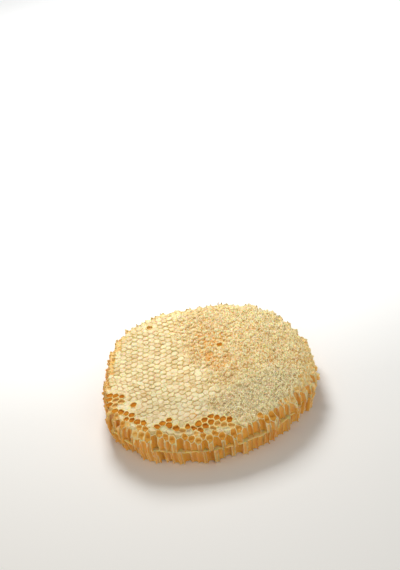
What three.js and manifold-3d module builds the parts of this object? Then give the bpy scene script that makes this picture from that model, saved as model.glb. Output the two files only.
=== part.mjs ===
// A roundish piece of natural honeycomb, about 175 mm across and 34 mm thick, lying flat.
//
// Bees build it on a thin wax sheet, the midrib, with a layer of six-sided cells on each side.
// The upper cells are filled and sealed with low domed caps. Some stand open near the edge.
// The outermost row of cells is torn open and slopes down outwards. Below that row the flank
// shows half cells, which stand as flutes between pointed ridges of broken wall.
// The lower cells stand aside from the upper ones, each with its middle under a corner where
// three upper cells meet.
//
// Millimetres. +Z is up, the piece rests on z = 0, and the origin is under its middle.

import * as THREE from 'three';
import Module from 'manifold-3d';

// ---- driving dimensions ----

const CELL_PITCH = 5.4; // from one cell's middle to the next
const ROW_TURN = -30; // degrees, the way one row of cells runs
const FIRST_CELL = { x: -67.9, y: -44.7 }; // one cell's middle, which places the rest
const CELL_UNEVENNESS = 0.34; // how far a cell's middle may stray
const ROW_SWAY = 1.5; // how far the rows wander over the whole piece
const SWAY_LENGTH = 118; // the length of one such wave
const SWAY_SLANT = { aside: 0.4, up: -0.3 }; // how far each wave leans towards the other axis

const THICKNESS = 33; // to the caps in the middle of the piece
const MIDRIB_HEIGHT = 15.5;
const MIDRIB_THICKNESS = 1.2;
const MIDRIB_OVERLAP = 0.3; // how far each layer reaches past the midrib's middle
const MIDRIB_SIDES = 96; // of the outline it is cut to

const CAPPED_RADIUS = 81.5; // the mean radius of the capped face
// The face isn't a true circle: each entry adds a wave of so many lobes, with its first at peak.
const OUTLINE_LOBES = [
  { lobes: 1, size: 3.2, peak: 151 },
  { lobes: 2, size: 1.6, peak: 34 },
  { lobes: 3, size: 1.1, peak: -15 },
  { lobes: 4, size: 2.1, peak: 43 },
  { lobes: 5, size: 1.1, peak: -12 },
];
const TORN_ROW_START = -1.6; // a cell whose middle is past this from the capped edge is torn
const TORN_ROW_END = 2.9; // and one past this is gone
const TORN_ROW_END_AT_RIGHT = 6.2; // on the +X side a broader strip is torn
const RIGHT_SIDE = [0.84, 0.98]; // where that begins and is full, as the cosine of the direction
const TORN_ROW_STRAY = 1.1; // how uneven these are from cell to cell
const FEWEST_WALLS_SHARED = 3; // a torn cell that shares fewer walls has fallen off
const LOWER_DRAWN_IN = 0.9; // how much sooner the lower layer's rows end
const LOWER_TAPER = 0.965; // the lower layer's size on the ground, against that at the midrib
const MIDRIB_PAST_CELLS = 2.0; // how far the midrib reaches past the middles of the last cells

const SHOULDER_WIDTH = 9; // over this width the capped face rounds down to its edge
const SHOULDER_DROP = 1.0;
const FRONT_SHOULDER_WIDTH = 16; // on the -Y side it rounds down sooner and further
const FRONT_SHOULDER_DROP = 3.0;
const FRONT_SIDE = [0.8, 0.97]; // where that begins and is full, as the sine of the direction
const TORN_WIDTH = 7; // and over this width the torn row slopes down to the flank
const TORN_DROP = 7.5;
const TORN_DROP_AT_BACK = 1.2; // on the +Y side it broke off cleaner
const BACK_SIDE = [0.1, 0.7]; // where that begins and is full, as the sine of the direction
const FACE_SWELL = 0.75; // slow rises and hollows of the face
const SWELL_X = { length: 23, start: 0.8 }; // a wave along X, by the length of one radian of it,
const SWELL_Y = { length: 27, start: -0.5 }; // times one along Y,
const SWELL_SLANT = { length: 13, share: 0.4 }; // and a smaller slanting one

const CAP_RISE = 0.95; // the middle of a cap over the groove round it
const CAP_RISE_STRAY = 0.35;
const OPEN_RIM_RISE = 0.5; // an open cell's rim over the groove
const OPEN_DEPTH = 3.4; // from the rim to the honey in it
const OPEN_FLOOR_SHARE = 0.74; // the honey's width against the cell's
const TORN_DEPTH = 2.4; // from the lowest wall of a torn cell to its honey
const TORN_FLOOR_SHARE = 0.66;
const TORN_WALL_STRAY = 1.3; // how ragged the torn walls are in height
const RIDGE_REACH = 1.9; // how far a broken wall stands out between two flutes
const RIDGE_STRAY = 1.3;

// Places near which the bees built the cells aside of their rows: so far in x and in y at the
// place itself, and less further off.
const PULLS = [
  { x: -79, y: -16, radius: 13, aside: 2.2, up: 0.7 },
  { x: -62, y: -30, radius: 12, aside: 2.3, up: 2.9 },
  { x: -74, y: -38, radius: 11, aside: -0.9, up: 0.5 },
  { x: -57, y: -56, radius: 13, aside: -2.6, up: 1.0 },
  { x: -40, y: -64, radius: 11, aside: -1.6, up: 0.2 },
  { x: -26, y: -68, radius: 11, aside: -0.9, up: -1.7 },
  { x: -12, y: -66, radius: 10, aside: -2.1, up: -0.7 },
  { x: 2, y: -68, radius: 10, aside: -1.1, up: -2.5 },
  { x: 14, y: -68, radius: 11, aside: -1.3, up: 1.6 },
];

// The cells that were left unsealed, as runs along rows: the row, and the first and last in it.
const OPEN_RUNS = [
  [22, 5, 5], [21, 17, 17],
  [4, 14, 17],
  [3, -3, -1], [3, 13, 17],
  [2, -3, -1], [2, 1, 1], [2, 12, 14],
  [1, -3, -2], [1, 7, 7], [1, 10, 12],
  [0, -2, 1], [0, 6, 9],
  [-1, 0, 3], [-1, 5, 5],
];
const OPEN_ROW_END = 1.0; // past this from the capped edge even these are torn

const WAX = { color: 0xe6cf95, roughness: 0.55, metalness: 0 };

// ---- the cells ----

const { clamp, degToRad: radians, lerp, smoothstep } = THREE.MathUtils;
const STEP_ACROSS = new THREE.Vector2(Math.cos(radians(ROW_TURN)), Math.sin(radians(ROW_TURN)))
  .multiplyScalar(CELL_PITCH);
const STEP_UP = STEP_ACROSS.clone().rotateAround(new THREE.Vector2(), radians(120));
const NEIGHBOURS = [[1, 0], [1, 1], [0, 1], [-1, 0], [-1, -1], [0, -1]]; // anticlockwise
const LAST_CELL = 45; // no cell's number is past this

/** A number from 0 to 1 that is always the same for the same three whole numbers: use tells apart draws. */
function chance(i, j, use) {
  let h = Math.imul(i, 374761393) + Math.imul(j, 668265263) + Math.imul(use, 1442695041);
  h = Math.imul(h ^ (h >>> 13), 1274126177);
  return ((h ^ (h >>> 16)) >>> 0) / 2 ** 32;
}

/** The same, spread evenly from -1 to 1. */
const stray = (i, j, use) => 2 * chance(i, j, use) - 1;

/** The radius of the capped face in the direction of a point. */
function cappedRadius(x, y) {
  const angle = Math.atan2(y, x);
  return OUTLINE_LOBES.reduce(
    (sum, { lobes, size, peak }) => sum + size * Math.cos(lobes * (angle - radians(peak))),
    CAPPED_RADIUS,
  );
}

/** How far a point lies past the edge of the capped face: below 0 on the face itself. */
const pastFace = (x, y) => Math.hypot(x, y) - cappedRadius(x, y);

/** How far past that edge the middle of a torn cell may lie. */
function tornReach(x, y) {
  const atRight = smoothstep(x / Math.hypot(x, y), ...RIGHT_SIDE);
  return lerp(TORN_ROW_END, TORN_ROW_END_AT_RIGHT, atRight);
}

/** Where the pulls move a cell that would stand at a point. */
function pulled(x, y) {
  const middle = new THREE.Vector2(x, y);
  PULLS.forEach((pull) => {
    const share = Math.exp(-((x - pull.x) ** 2 + (y - pull.y) ** 2) / pull.radius ** 2);
    middle.x += pull.aside * share;
    middle.y += pull.up * share;
  });
  return middle;
}

/** The middle of cell (i, j) of a layer whose cells are moved aside by so much. */
function cellMiddle(i, j, layer) {
  const x0 = FIRST_CELL.x + layer.aside + i * STEP_ACROSS.x + j * STEP_UP.x;
  const y0 = FIRST_CELL.y + i * STEP_ACROSS.y + j * STEP_UP.y;
  const wave = (2 * Math.PI) / SWAY_LENGTH;
  const swayX = ROW_SWAY * Math.sin(wave * (y0 + SWAY_SLANT.aside * x0));
  const swayY = ROW_SWAY * Math.sin(wave * (x0 + SWAY_SLANT.up * y0));
  return pulled(
    x0 + swayX + CELL_UNEVENNESS * stray(i, j, layer.seed),
    y0 + swayY + CELL_UNEVENNESS * stray(i, j, layer.seed + 1),
  );
}

/** The height of the upper face's grooves, swells and slopes, without its caps. */
function faceHeight(x, y) {
  const past = pastFace(x, y);
  const alongX = Math.sin(x / SWELL_X.length + SWELL_X.start);
  const alongY = Math.cos(y / SWELL_Y.length + SWELL_Y.start);
  const slanting = SWELL_SLANT.share * Math.sin((x - y) / SWELL_SLANT.length);
  const swell = FACE_SWELL * (alongX * alongY + slanting);
  const atFront = smoothstep(-y / Math.hypot(x, y), ...FRONT_SIDE);
  const shoulderWidth = lerp(SHOULDER_WIDTH, FRONT_SHOULDER_WIDTH, atFront);
  const shoulder = lerp(SHOULDER_DROP, FRONT_SHOULDER_DROP, atFront) * smoothstep(past, -shoulderWidth, 0);
  const atBack = smoothstep(y / Math.hypot(x, y), ...BACK_SIDE);
  const drop = lerp(TORN_DROP, TORN_DROP_AT_BACK, atBack);
  return THICKNESS - CAP_RISE + swell - shoulder - drop * clamp(past / TORN_WIDTH, 0, 1);
}

/** Was this cell left unsealed? */
const isUnsealed = (i, j) => OPEN_RUNS.some(([row, first, last]) => j === row && i >= first && i <= last);

/** All cells of a layer, by their numbers, and each with its corners. */
function growCells(layer) {
  const cells = new Map();
  for (let i = -LAST_CELL; i <= LAST_CELL; i += 1) {
    for (let j = -LAST_CELL; j <= LAST_CELL; j += 1) {
      const middle = cellMiddle(i, j, layer);
      const past = pastFace(middle.x, middle.y) + TORN_ROW_STRAY * stray(i, j, 7);
      if (past < tornReach(middle.x, middle.y) - layer.drawnIn) {
        let kind = past > TORN_ROW_START ? 'torn' : 'capped';
        if (isUnsealed(i, j) && past < OPEN_ROW_END) kind = 'open';
        cells.set(`${i},${j}`, { i, j, middle, kind });
      }
    }
  }
  cells.forEach(({ i, j }, name) => {
    const held = NEIGHBOURS.filter(([di, dj]) => cells.has(`${i + di},${j + dj}`)).length;
    if (held < FEWEST_WALLS_SHARED) cells.delete(name);
  });
  return cells;
}

/** Corner k of a cell, where it meets its neighbours k and k + 1, with a name all three share. */
function cellCorner(cell, k, cells, layer) {
  const around = [[0, 0], NEIGHBOURS[k], NEIGHBOURS[(k + 1) % 6]]
    .map(([di, dj]) => [cell.i + di, cell.j + dj]);
  const name = around.map(([i, j]) => `${i},${j}`).sort().join(' ');
  const point = new THREE.Vector2();
  around.forEach(([i, j]) => point.add(cellMiddle(i, j, layer)));
  point.divideScalar(3);
  const kinds = around.map(([i, j]) => cells.get(`${i},${j}`)?.kind);
  const present = kinds.filter(Boolean).length;
  if (present === 1) {
    const reach = RIDGE_REACH + RIDGE_STRAY * stray(cell.i, cell.j, 11 + k);
    point.addScaledVector(point.clone().normalize(), reach);
  }
  return { name, point, kinds, ragged: stray(cell.i, cell.j, 23 + k) };
}

/** How high the wax stands at a corner of the upper layer. */
function cornerHeight({ point, kinds, ragged }) {
  let height = faceHeight(point.x, point.y);
  if (kinds.includes('open')) height += OPEN_RIM_RISE;
  if (kinds.includes('torn') || kinds.includes(undefined)) height += TORN_WALL_STRAY * ragged;
  return height;
}

// ---- solids ----

/** Gathers named points and triangles into one closed skin. */
class Skin {
  points = [];
  numbers = new Map();
  triangles = [];

  /** The number of the point with this name, which is added the first time. */
  point(name, x, y, z) {
    if (!this.numbers.has(name)) {
      this.numbers.set(name, this.points.length / 3);
      this.points.push(x, y, z);
    }
    return this.numbers.get(name);
  }

  /** A band of triangles from one ring of points to a ring of as many inside it. */
  band(outer, inner) {
    outer.forEach((a, k) => {
      const next = (k + 1) % outer.length;
      this.triangles.push(a, outer[next], inner[next], a, inner[next], inner[k]);
    });
  }

  /** Triangles from each side of a ring of points to one point. */
  fan(ring, tip) {
    ring.forEach((a, k) => this.triangles.push(a, ring[(k + 1) % ring.length], tip));
  }

  /** The closed skin as a solid that can be joined to others. */
  solid(wasm) {
    return new wasm.Manifold(new wasm.Mesh({
      numProp: 3,
      vertProperties: new Float32Array(this.points),
      triVerts: new Uint32Array(this.triangles),
    }));
  }
}

/** A sealed cell: six triangles that rise to the middle of its cap. */
function addCap(skin, cell, corners) {
  const { x, y } = cell.middle;
  const rise = CAP_RISE + CAP_RISE_STRAY * stray(cell.i, cell.j, 5);
  const top = skin.point(`cap ${cell.i},${cell.j}`, x, y, faceHeight(x, y) + rise);
  skin.fan(corners.map((c) => c.number), top);
}

/** An open cell: its walls slope in to a level six-sided floor, which is the honey in it. */
function addWell(skin, cell, corners) {
  const torn = cell.kind === 'torn';
  const share = torn ? TORN_FLOOR_SHARE : OPEN_FLOOR_SHARE;
  const lowest = Math.min(...corners.map((c) => c.height));
  const level = lowest - (torn ? TORN_DEPTH : OPEN_DEPTH);
  const floor = corners.map(({ point }, k) => {
    const edge = cell.middle.clone().lerp(point, share);
    return skin.point(`well ${cell.i},${cell.j} ${k}`, edge.x, edge.y, level);
  });
  skin.band(corners.map((c) => c.number), floor);
  for (let k = 1; k < 5; k += 1) skin.triangles.push(floor[0], floor[k], floor[k + 1]);
}

/** The loop of corners round a layer's cells, anticlockwise, each with the one that follows. */
function outerLoop(edges) {
  const after = new Map(edges.map(([a, b]) => [a.name, b]));
  const loop = [edges[0][0]];
  for (let next = after.get(loop[0].name); next.name !== loop[0].name; next = after.get(next.name)) {
    loop.push(next);
  }
  return loop;
}

/** Closes a layer below: its flank down to a foot ring, then a flat base. */
function addFlankAndBase(skin, loop, footHeight, footShare) {
  const foot = loop.map(({ name, point }) =>
    skin.point(`foot ${name}`, point.x * footShare, point.y * footShare, footHeight));
  skin.band(foot, loop.map((c) => c.number));
  const flat = loop.map(({ point }) => point);
  THREE.ShapeUtils.triangulateShape(flat, []).forEach(([a, b, c]) => {
    skin.triangles.push(foot[a], foot[c], foot[b]);
  });
}

/** The upper layer: every cap, open cell and torn cell, and the fluted flank under them. */
function upperLayer(wasm) {
  const layer = { aside: 0, seed: 1, drawnIn: 0 };
  const cells = growCells(layer);
  const skin = new Skin();
  const edges = [];
  cells.forEach((cell) => {
    const corners = NEIGHBOURS.map((_, k) => {
      const corner = cellCorner(cell, k, cells, layer);
      corner.height = cornerHeight(corner);
      corner.number = skin.point(corner.name, corner.point.x, corner.point.y, corner.height);
      return corner;
    });
    if (cell.kind === 'capped') addCap(skin, cell, corners);
    else addWell(skin, cell, corners);
    NEIGHBOURS.forEach(([di, dj], k) => {
      if (!cells.has(`${cell.i + di},${cell.j + dj}`)) edges.push([corners[(k + 5) % 6], corners[k]]);
    });
  });
  addFlankAndBase(skin, outerLoop(edges), MIDRIB_HEIGHT - MIDRIB_OVERLAP, 1);
  return skin.solid(wasm);
}

/** The lower layer: a fluted drum, flat above and below, that draws in towards the ground. */
function lowerLayer(wasm) {
  const layer = { aside: CELL_PITCH / Math.sqrt(3), seed: 31, drawnIn: LOWER_DRAWN_IN };
  const cells = growCells(layer);
  const skin = new Skin();
  const edges = [];
  const top = MIDRIB_HEIGHT + MIDRIB_OVERLAP;
  cells.forEach((cell) => {
    NEIGHBOURS.forEach(([di, dj], k) => {
      if (cells.has(`${cell.i + di},${cell.j + dj}`)) return;
      const ends = [(k + 5) % 6, k].map((n) => {
        const corner = cellCorner(cell, n, cells, layer);
        corner.number = skin.point(corner.name, corner.point.x, corner.point.y, top);
        return corner;
      });
      edges.push(ends);
    });
  });
  const loop = outerLoop(edges);
  THREE.ShapeUtils.triangulateShape(loop.map(({ point }) => point), []).forEach(([a, b, c]) => {
    skin.triangles.push(loop[a].number, loop[b].number, loop[c].number);
  });
  addFlankAndBase(skin, loop, 0, LOWER_TAPER);
  return skin.solid(wasm);
}

/** The wax sheet between the layers, whose edge shows as a line round the flank. */
function midrib(wasm) {
  const skin = new Skin();
  const ring = (label, height) => Array.from({ length: MIDRIB_SIDES }, (_, n) => {
    const angle = (n * 2 * Math.PI) / MIDRIB_SIDES;
    const [c, s] = [Math.cos(angle), Math.sin(angle)];
    const radius = cappedRadius(c, s) + tornReach(c, s) + MIDRIB_PAST_CELLS;
    return skin.point(`${label} ${n}`, radius * c, radius * s, height);
  });
  const [under, over] = [-0.5, 0.5].map((side) => MIDRIB_HEIGHT + side * MIDRIB_THICKNESS);
  const low = ring('low', under);
  const high = ring('high', over);
  skin.band(low, high);
  skin.fan(high, skin.point('high middle', 0, 0, over));
  skin.fan(low.reverse(), skin.point('low middle', 0, 0, under));
  return skin.solid(wasm);
}

/** A manifold-3d solid as a named three.js mesh. */
function meshOf(name, solid, look) {
  const { numProp, numVert, vertProperties, triVerts } = solid.getMesh();
  const positions = new Float32Array(numVert * 3);
  for (let n = 0; n < numVert; n += 1) {
    positions.set(vertProperties.subarray(n * numProp, n * numProp + 3), n * 3);
  }
  const geometry = new THREE.BufferGeometry();
  geometry.setAttribute('position', new THREE.BufferAttribute(positions, 3));
  geometry.setIndex(new THREE.BufferAttribute(triVerts, 1));
  geometry.computeVertexNormals();
  const mesh = new THREE.Mesh(geometry, new THREE.MeshStandardMaterial(look));
  mesh.name = name;
  return mesh;
}

const wasm = await Module();
wasm.setup();

const comb = lowerLayer(wasm).add(midrib(wasm)).add(upperLayer(wasm));
const honeycomb = new THREE.Group();
honeycomb.add(meshOf('honeycomb', comb, WAX));

export default honeycomb;
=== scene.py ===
"""A roundish piece of natural honeycomb, dressed over its solid.

Bees build comb on a wax sheet, the midrib, with a layer of six-sided cells on each side. This piece
lies flat. Its upper cells are sealed with wax caps, plump on one side and crinkled on the other.
Some cells near the edge stand open, and the outermost row is torn. Shapes are worked out in
millimetres in the frame's own axes, and turned into metres where a mesh is made.
"""

from __future__ import annotations

import logging
import math
from dataclasses import dataclass, field
from enum import Enum
from typing import Callable, Iterable, Sequence

import bpy
import numpy as np
from mathutils import Matrix, Vector


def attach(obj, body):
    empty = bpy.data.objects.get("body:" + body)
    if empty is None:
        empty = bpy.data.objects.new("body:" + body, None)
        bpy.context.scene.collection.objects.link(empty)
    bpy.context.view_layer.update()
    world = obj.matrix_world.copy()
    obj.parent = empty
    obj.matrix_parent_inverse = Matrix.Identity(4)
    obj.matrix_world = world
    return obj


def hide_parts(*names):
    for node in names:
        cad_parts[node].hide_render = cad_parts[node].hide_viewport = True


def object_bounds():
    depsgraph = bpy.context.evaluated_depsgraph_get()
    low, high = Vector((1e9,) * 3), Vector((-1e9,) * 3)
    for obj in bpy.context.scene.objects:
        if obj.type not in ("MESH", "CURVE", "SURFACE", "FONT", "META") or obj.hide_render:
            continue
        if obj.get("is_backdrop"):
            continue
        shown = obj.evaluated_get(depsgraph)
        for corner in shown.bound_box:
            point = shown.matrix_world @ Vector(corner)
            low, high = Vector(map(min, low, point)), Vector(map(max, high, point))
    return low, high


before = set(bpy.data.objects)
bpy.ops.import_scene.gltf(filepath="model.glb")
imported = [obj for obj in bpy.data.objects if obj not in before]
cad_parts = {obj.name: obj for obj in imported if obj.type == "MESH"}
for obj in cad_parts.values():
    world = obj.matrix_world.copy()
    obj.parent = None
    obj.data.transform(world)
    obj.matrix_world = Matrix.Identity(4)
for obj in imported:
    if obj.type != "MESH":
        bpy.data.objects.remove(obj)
CAD_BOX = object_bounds()

MM = 0.001
TAU = 2 * math.pi
NODE = "honeycomb"
BODY = "root"
NEIGHBOURS = ((1, 0), (1, 1), (0, 1), (-1, 0), (-1, -1), (0, -1))  # steps to the cells around
NEARLY_NOTHING = 1e-9  # keeps a division from failing in the very middle
FULL_RANGE = 1.55  # makes the noise between four slopes reach about -1 and 1

Array = np.ndarray
Piece = bpy.types.Object
Colour = tuple[float, float, float]
Pair = tuple[float, float]
log = logging.getLogger("honeycomb")


# ---- numbers ----


WORD = 0xFFFFFFFF  # the greatest number of 32 bits
SCATTER = (374761393, 668265263, 1442695041, 1274126177)  # odd numbers that mix those bits well


def chance(i: Array | int, j: Array | int, use: int) -> Array:
    """A number from 0 to 1 that is always the same for the same whole numbers.

    Args:
        i, j: the first two whole numbers, or arrays of them.
        use: tells one use of the same numbers from another.

    Returns:
        The number, or an array of them.
    """
    i = np.asarray(i, np.int64) & WORD
    j = np.asarray(j, np.int64) & WORD
    mixed = (i * SCATTER[0] + j * SCATTER[1] + use * SCATTER[2]) & WORD
    mixed = ((mixed ^ (mixed >> 13)) * SCATTER[3]) & WORD
    return (mixed ^ (mixed >> 16)) / (WORD + 1)


def stray(i: Array | int, j: Array | int, use: int) -> Array:
    """The same, spread evenly from -1 to 1."""
    return 2 * chance(i, j, use) - 1


def smooth(value: Array | float, low: float, high: float) -> Array:
    """A soft step: 0 below low, 1 above high, and an even curve between them."""
    share = np.clip((np.asarray(value, float) - low) / (high - low), 0, 1)
    return share * share * (3 - 2 * share)


def blend(low: Array | float, high: Array | float, share: Array | float) -> Array:
    """The value that lies so far on the way from low to high."""
    return low + (high - low) * share


@dataclass(frozen=True)
class Ripple:
    """Smooth noise over a plane, from about -1 to 1.

    Attributes:
        wavelength: the size of one rise and hollow, in the points' units.
        seed: picks one pattern.
    """

    wavelength: float
    seed: int

    def __call__(self, x: Array, y: Array) -> Array:
        """Works the noise out.

        Args:
            x, y: the points.

        Returns:
            The noise at each point.
        """
        u, v = np.asarray(x, float) / self.wavelength, np.asarray(y, float) / self.wavelength
        i, j = np.floor(u).astype(np.int64), np.floor(v).astype(np.int64)
        u, v = u - i, v - j

        def slope(di: int, dj: int) -> Array:
            """What the slope at one corner of the grid gives here."""
            angle = TAU * chance(i + di, j + dj, self.seed)
            return np.cos(angle) * (u - di) + np.sin(angle) * (v - dj)

        across, up = (w * w * w * (w * (6 * w - 15) + 10) for w in (u, v))
        near = blend(slope(0, 0), slope(1, 0), across)
        far = blend(slope(0, 1), slope(1, 1), across)
        return FULL_RANGE * blend(near, far, up)

    def crest(self, x: Array, y: Array, width: float) -> Array:
        """Thin winding ridges from 0 to 1, where the noise passes through zero."""
        return np.exp(-((self(x, y) / width) ** 2))


# ---- the comb's form ----


class Kind(Enum):
    """What has become of a cell."""

    CAPPED = "sealed with a wax cap"
    OPEN = "never sealed"
    TORN = "torn open at the edge"


class Side(Enum):
    """The two sides of the midrib."""

    UPPER = "above it"
    LOWER = "below it"


@dataclass(frozen=True)
class Wave:
    """One wave of the outline.

    Attributes:
        lobes: how many rises it has on the way round.
        size: how high each of them is, in millimetres.
        peak: the direction of one of them, in degrees.
    """

    lobes: int
    size: float
    peak: float

    def at(self, angle: Array) -> Array:
        """What the wave adds to the radius in these directions."""
        return self.size * np.cos(self.lobes * (angle - math.radians(self.peak)))


@dataclass(frozen=True)
class Place:
    """A soft round place, strongest in its middle.

    Attributes:
        x, y: where its middle is.
        radius: how far from there it has faded to about a third.
    """

    x: float
    y: float
    radius: float

    def share(self, x: Array, y: Array) -> Array:
        """How much of its full strength each point has."""
        return np.exp(-((x - self.x) ** 2 + (y - self.y) ** 2) / self.radius**2)


@dataclass(frozen=True)
class Spot(Place):
    """A place where something shows on the face.

    Attributes:
        strength: how strongly it shows in the middle.
    """

    strength: float = 1.0

    def at(self, x: Array, y: Array) -> Array:
        """How strongly it shows at each point."""
        return self.strength * self.share(x, y)


@dataclass(frozen=True)
class Pull(Place):
    """A place near which the bees built the cells a little aside of their rows.

    Attributes:
        aside: how far it moves a cell along X.
        up: how far it moves one along Y.
    """

    aside: float
    up: float


@dataclass(frozen=True)
class Form:
    """The outline, the heights and the cells' places, as the solid has them.

    Attributes:
        pitch: from the middle of one cell to the next.
        row_turn: the direction of the rows, in degrees.
        first_cell: where cell (0, 0) would stand.
        unevenness: how far each cell strays from its row.
        row_sway: how far the rows wave from straight.
        sway_length: the length of one such wave.
        sway_slant: how far each wave leans towards the other axis.
        thickness: the height of the face.
        midrib_height: the height of the sheet between the layers.
        capped_radius: the mean radius of the sealed face.
        waves: what makes its outline uneven.
        torn_row_start: how far past the sealed face the middles of torn cells begin.
        torn_row_end: and where they end.
        torn_row_end_at_right: and where they do on the +X side.
        right_side: where that side begins and is full, as a cosine.
        torn_row_stray: how unevenly the rows end.
        fewest_walls_shared: a cell with fewer broke off.
        corner_stray: how far the corners of cells stray.
        lower_taper: how much smaller the underside is.
        shoulder_width: the face rounds down over this width at its edge.
        shoulder_drop: and by this much.
        front_shoulder_width: the same on the -Y side.
        front_shoulder_drop: and its drop there.
        front_side: where that side begins and is full, as a sine.
        torn_width: the width of the torn edge.
        torn_drop: how far it falls.
        torn_drop_at_back: the same on the +Y side.
        back_side: where that side begins and is full, as a sine.
        face_swell: slow rises and hollows of the face.
        swell_x: their wave along X, by the length of a radian of it and where it starts.
        swell_y: the wave along Y that it is multiplied by.
        swell_slant: a slanting one that is added, by the same length and its share.
        cap_rise: how high a cap stands over its grooves.
        cap_rise_stray: and how much that varies.
        open_rim_rise: how high the rim of an open cell stands.
        ridge_reach: how far a broken wall stands out.
        ridge_stray: and how much that varies.
        last_cell: no row or column has a higher number.
        pulls: where cells were built aside of their rows.
        open_runs: the cells left open, as a row with its first and last number.
        open_row_end: how far past the sealed face an open cell's middle lies at most.
    """

    pitch: float = 5.4
    row_turn: float = -30.0
    first_cell: Pair = (-67.9, -44.7)
    unevenness: float = 0.34
    row_sway: float = 1.5
    sway_length: float = 118.0
    sway_slant: Pair = (0.4, -0.3)
    thickness: float = 33.0
    midrib_height: float = 15.5
    capped_radius: float = 81.5
    waves: tuple[Wave, ...] = (
        Wave(1, 3.2, 151), Wave(2, 1.6, 34), Wave(3, 1.1, -15), Wave(4, 2.1, 43), Wave(5, 1.1, -12),
    )
    torn_row_start: float = -1.6
    torn_row_end: float = 2.9
    torn_row_end_at_right: float = 6.2
    right_side: Pair = (0.84, 0.98)
    torn_row_stray: float = 1.1
    fewest_walls_shared: int = 3
    corner_stray: float = 0.5
    lower_taper: float = 0.965
    shoulder_width: float = 9.0
    shoulder_drop: float = 1.0
    front_shoulder_width: float = 16.0
    front_shoulder_drop: float = 3.0
    front_side: Pair = (0.8, 0.97)
    torn_width: float = 7.0
    torn_drop: float = 7.5
    torn_drop_at_back: float = 1.2
    back_side: Pair = (0.1, 0.7)
    face_swell: float = 0.75
    swell_x: Pair = (23.0, 0.8)
    swell_y: Pair = (27.0, -0.5)
    swell_slant: Pair = (13.0, 0.4)
    cap_rise: float = 0.95
    cap_rise_stray: float = 0.35
    open_rim_rise: float = 0.5
    ridge_reach: float = 1.9
    ridge_stray: float = 1.3
    last_cell: int = 45
    pulls: tuple[Pull, ...] = (
        Pull(-79, -16, 13, 2.2, 0.7), Pull(-62, -30, 12, 2.3, 2.9), Pull(-74, -38, 11, -0.9, 0.5),
        Pull(-57, -56, 13, -2.6, 1.0), Pull(-40, -64, 11, -1.6, 0.2), Pull(-26, -68, 11, -0.9, -1.7),
        Pull(-12, -66, 10, -2.1, -0.7), Pull(2, -68, 10, -1.1, -2.5), Pull(14, -68, 11, -1.3, 1.6),
    )
    open_runs: tuple[tuple[int, int, int], ...] = (
        (4, 14, 17), (3, -3, -1), (3, 13, 17), (2, -3, -1), (2, 1, 1), (2, 12, 14), (1, -3, -2),
        (1, 7, 7), (1, 10, 12), (0, -2, 1), (0, 6, 9), (-1, 0, 3), (-1, 5, 5), (22, 5, 5), (21, 17, 17),
    )
    open_row_end: float = 1.0

    def radius(self, x: Array, y: Array) -> Array:
        """The radius of the capped face in the direction of each point."""
        angle = np.arctan2(y, x)
        return self.capped_radius + sum(wave.at(angle) for wave in self.waves)

    def past(self, x: Array, y: Array) -> Array:
        """How far each point lies past the edge of the capped face."""
        return np.hypot(x, y) - self.radius(x, y)

    def torn_reach(self, x: Array, y: Array) -> Array:
        """How far past that edge the middle of a torn cell may lie."""
        right = smooth(x / np.hypot(x, y), *self.right_side)
        return blend(self.torn_row_end, self.torn_row_end_at_right, right)

    def groove(self, x: Array, y: Array) -> Array:
        """The height of the upper face's grooves, swells and slopes, without its caps.

        Args:
            x, y: the points.

        Returns:
            The height at each point.
        """
        past = self.past(x, y)
        sine = y / np.maximum(np.hypot(x, y), NEARLY_NOTHING)
        front = smooth(-sine, *self.front_side)
        width = blend(self.shoulder_width, self.front_shoulder_width, front)
        rounded = blend(self.shoulder_drop, self.front_shoulder_drop, front)
        shoulder = rounded * smooth(past / width, -1, 0)
        back = smooth(sine, *self.back_side)
        drop = blend(self.torn_drop, self.torn_drop_at_back, back)
        torn = drop * np.clip(past / self.torn_width, 0, 1)
        (length_x, start_x), (length_y, start_y) = self.swell_x, self.swell_y
        length, share = self.swell_slant
        crossed = np.sin(x / length_x + start_x) * np.cos(y / length_y + start_y)
        swell = self.face_swell * (crossed + share * np.sin((x - y) / length))
        return self.thickness - self.cap_rise + swell - shoulder - torn

    def pulled(self, x: Array, y: Array) -> tuple[Array, Array]:
        """Moves points as the pulls do.

        Args:
            x, y: the points.

        Returns:
            Where they go, along X and along Y.
        """
        shares = [(pull, pull.share(x, y)) for pull in self.pulls]
        return (x + sum(pull.aside * share for pull, share in shares),
                y + sum(pull.up * share for pull, share in shares))

    def taper(self, z: Array) -> Array:
        """How much smaller the comb is at each height, as a share: 1 from the midrib up."""
        return 1 - (1 - self.lower_taper) * np.clip(1 - z / self.midrib_height, 0, 1)

    def unsealed(self, i: Array, j: Array) -> Array:
        """Which cells were left open."""
        runs = ((j == row) & (i >= first) & (i <= last) for row, first, last in self.open_runs)
        return np.logical_or.reduce(list(runs))


@dataclass
class Corner:
    """A place where three cells meet.

    Attributes:
        place: where it is.
        kinds: what the three cells are, with None for one that isn't there.
        tip: how far a broken wall's stump reaches out from it, or 0 for none.
        outward: the direction in which that stump stands out.
    """

    place: Array
    kinds: list[Kind | None]
    tip: float = 0.0
    outward: Array = field(default_factory=lambda: np.zeros(2))

    @property
    def open(self) -> bool:
        """Does it belong to the rim of an open cell?"""
        return Kind.OPEN in self.kinds

    @property
    def broken(self) -> bool:
        """Does it belong to a torn wall?"""
        return Kind.TORN in self.kinds or None in self.kinds


@dataclass
class Cell:
    """One cell of a layer.

    Attributes:
        i: its number along the rows.
        j: its number across them.
        middle: where its middle is.
        kind: what has become of it.
        corners: its six corners, anticlockwise.
    """

    i: int
    j: int
    middle: Array
    kind: Kind
    corners: list[Corner] = field(default_factory=list)


Cells = Sequence[Cell]


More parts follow.
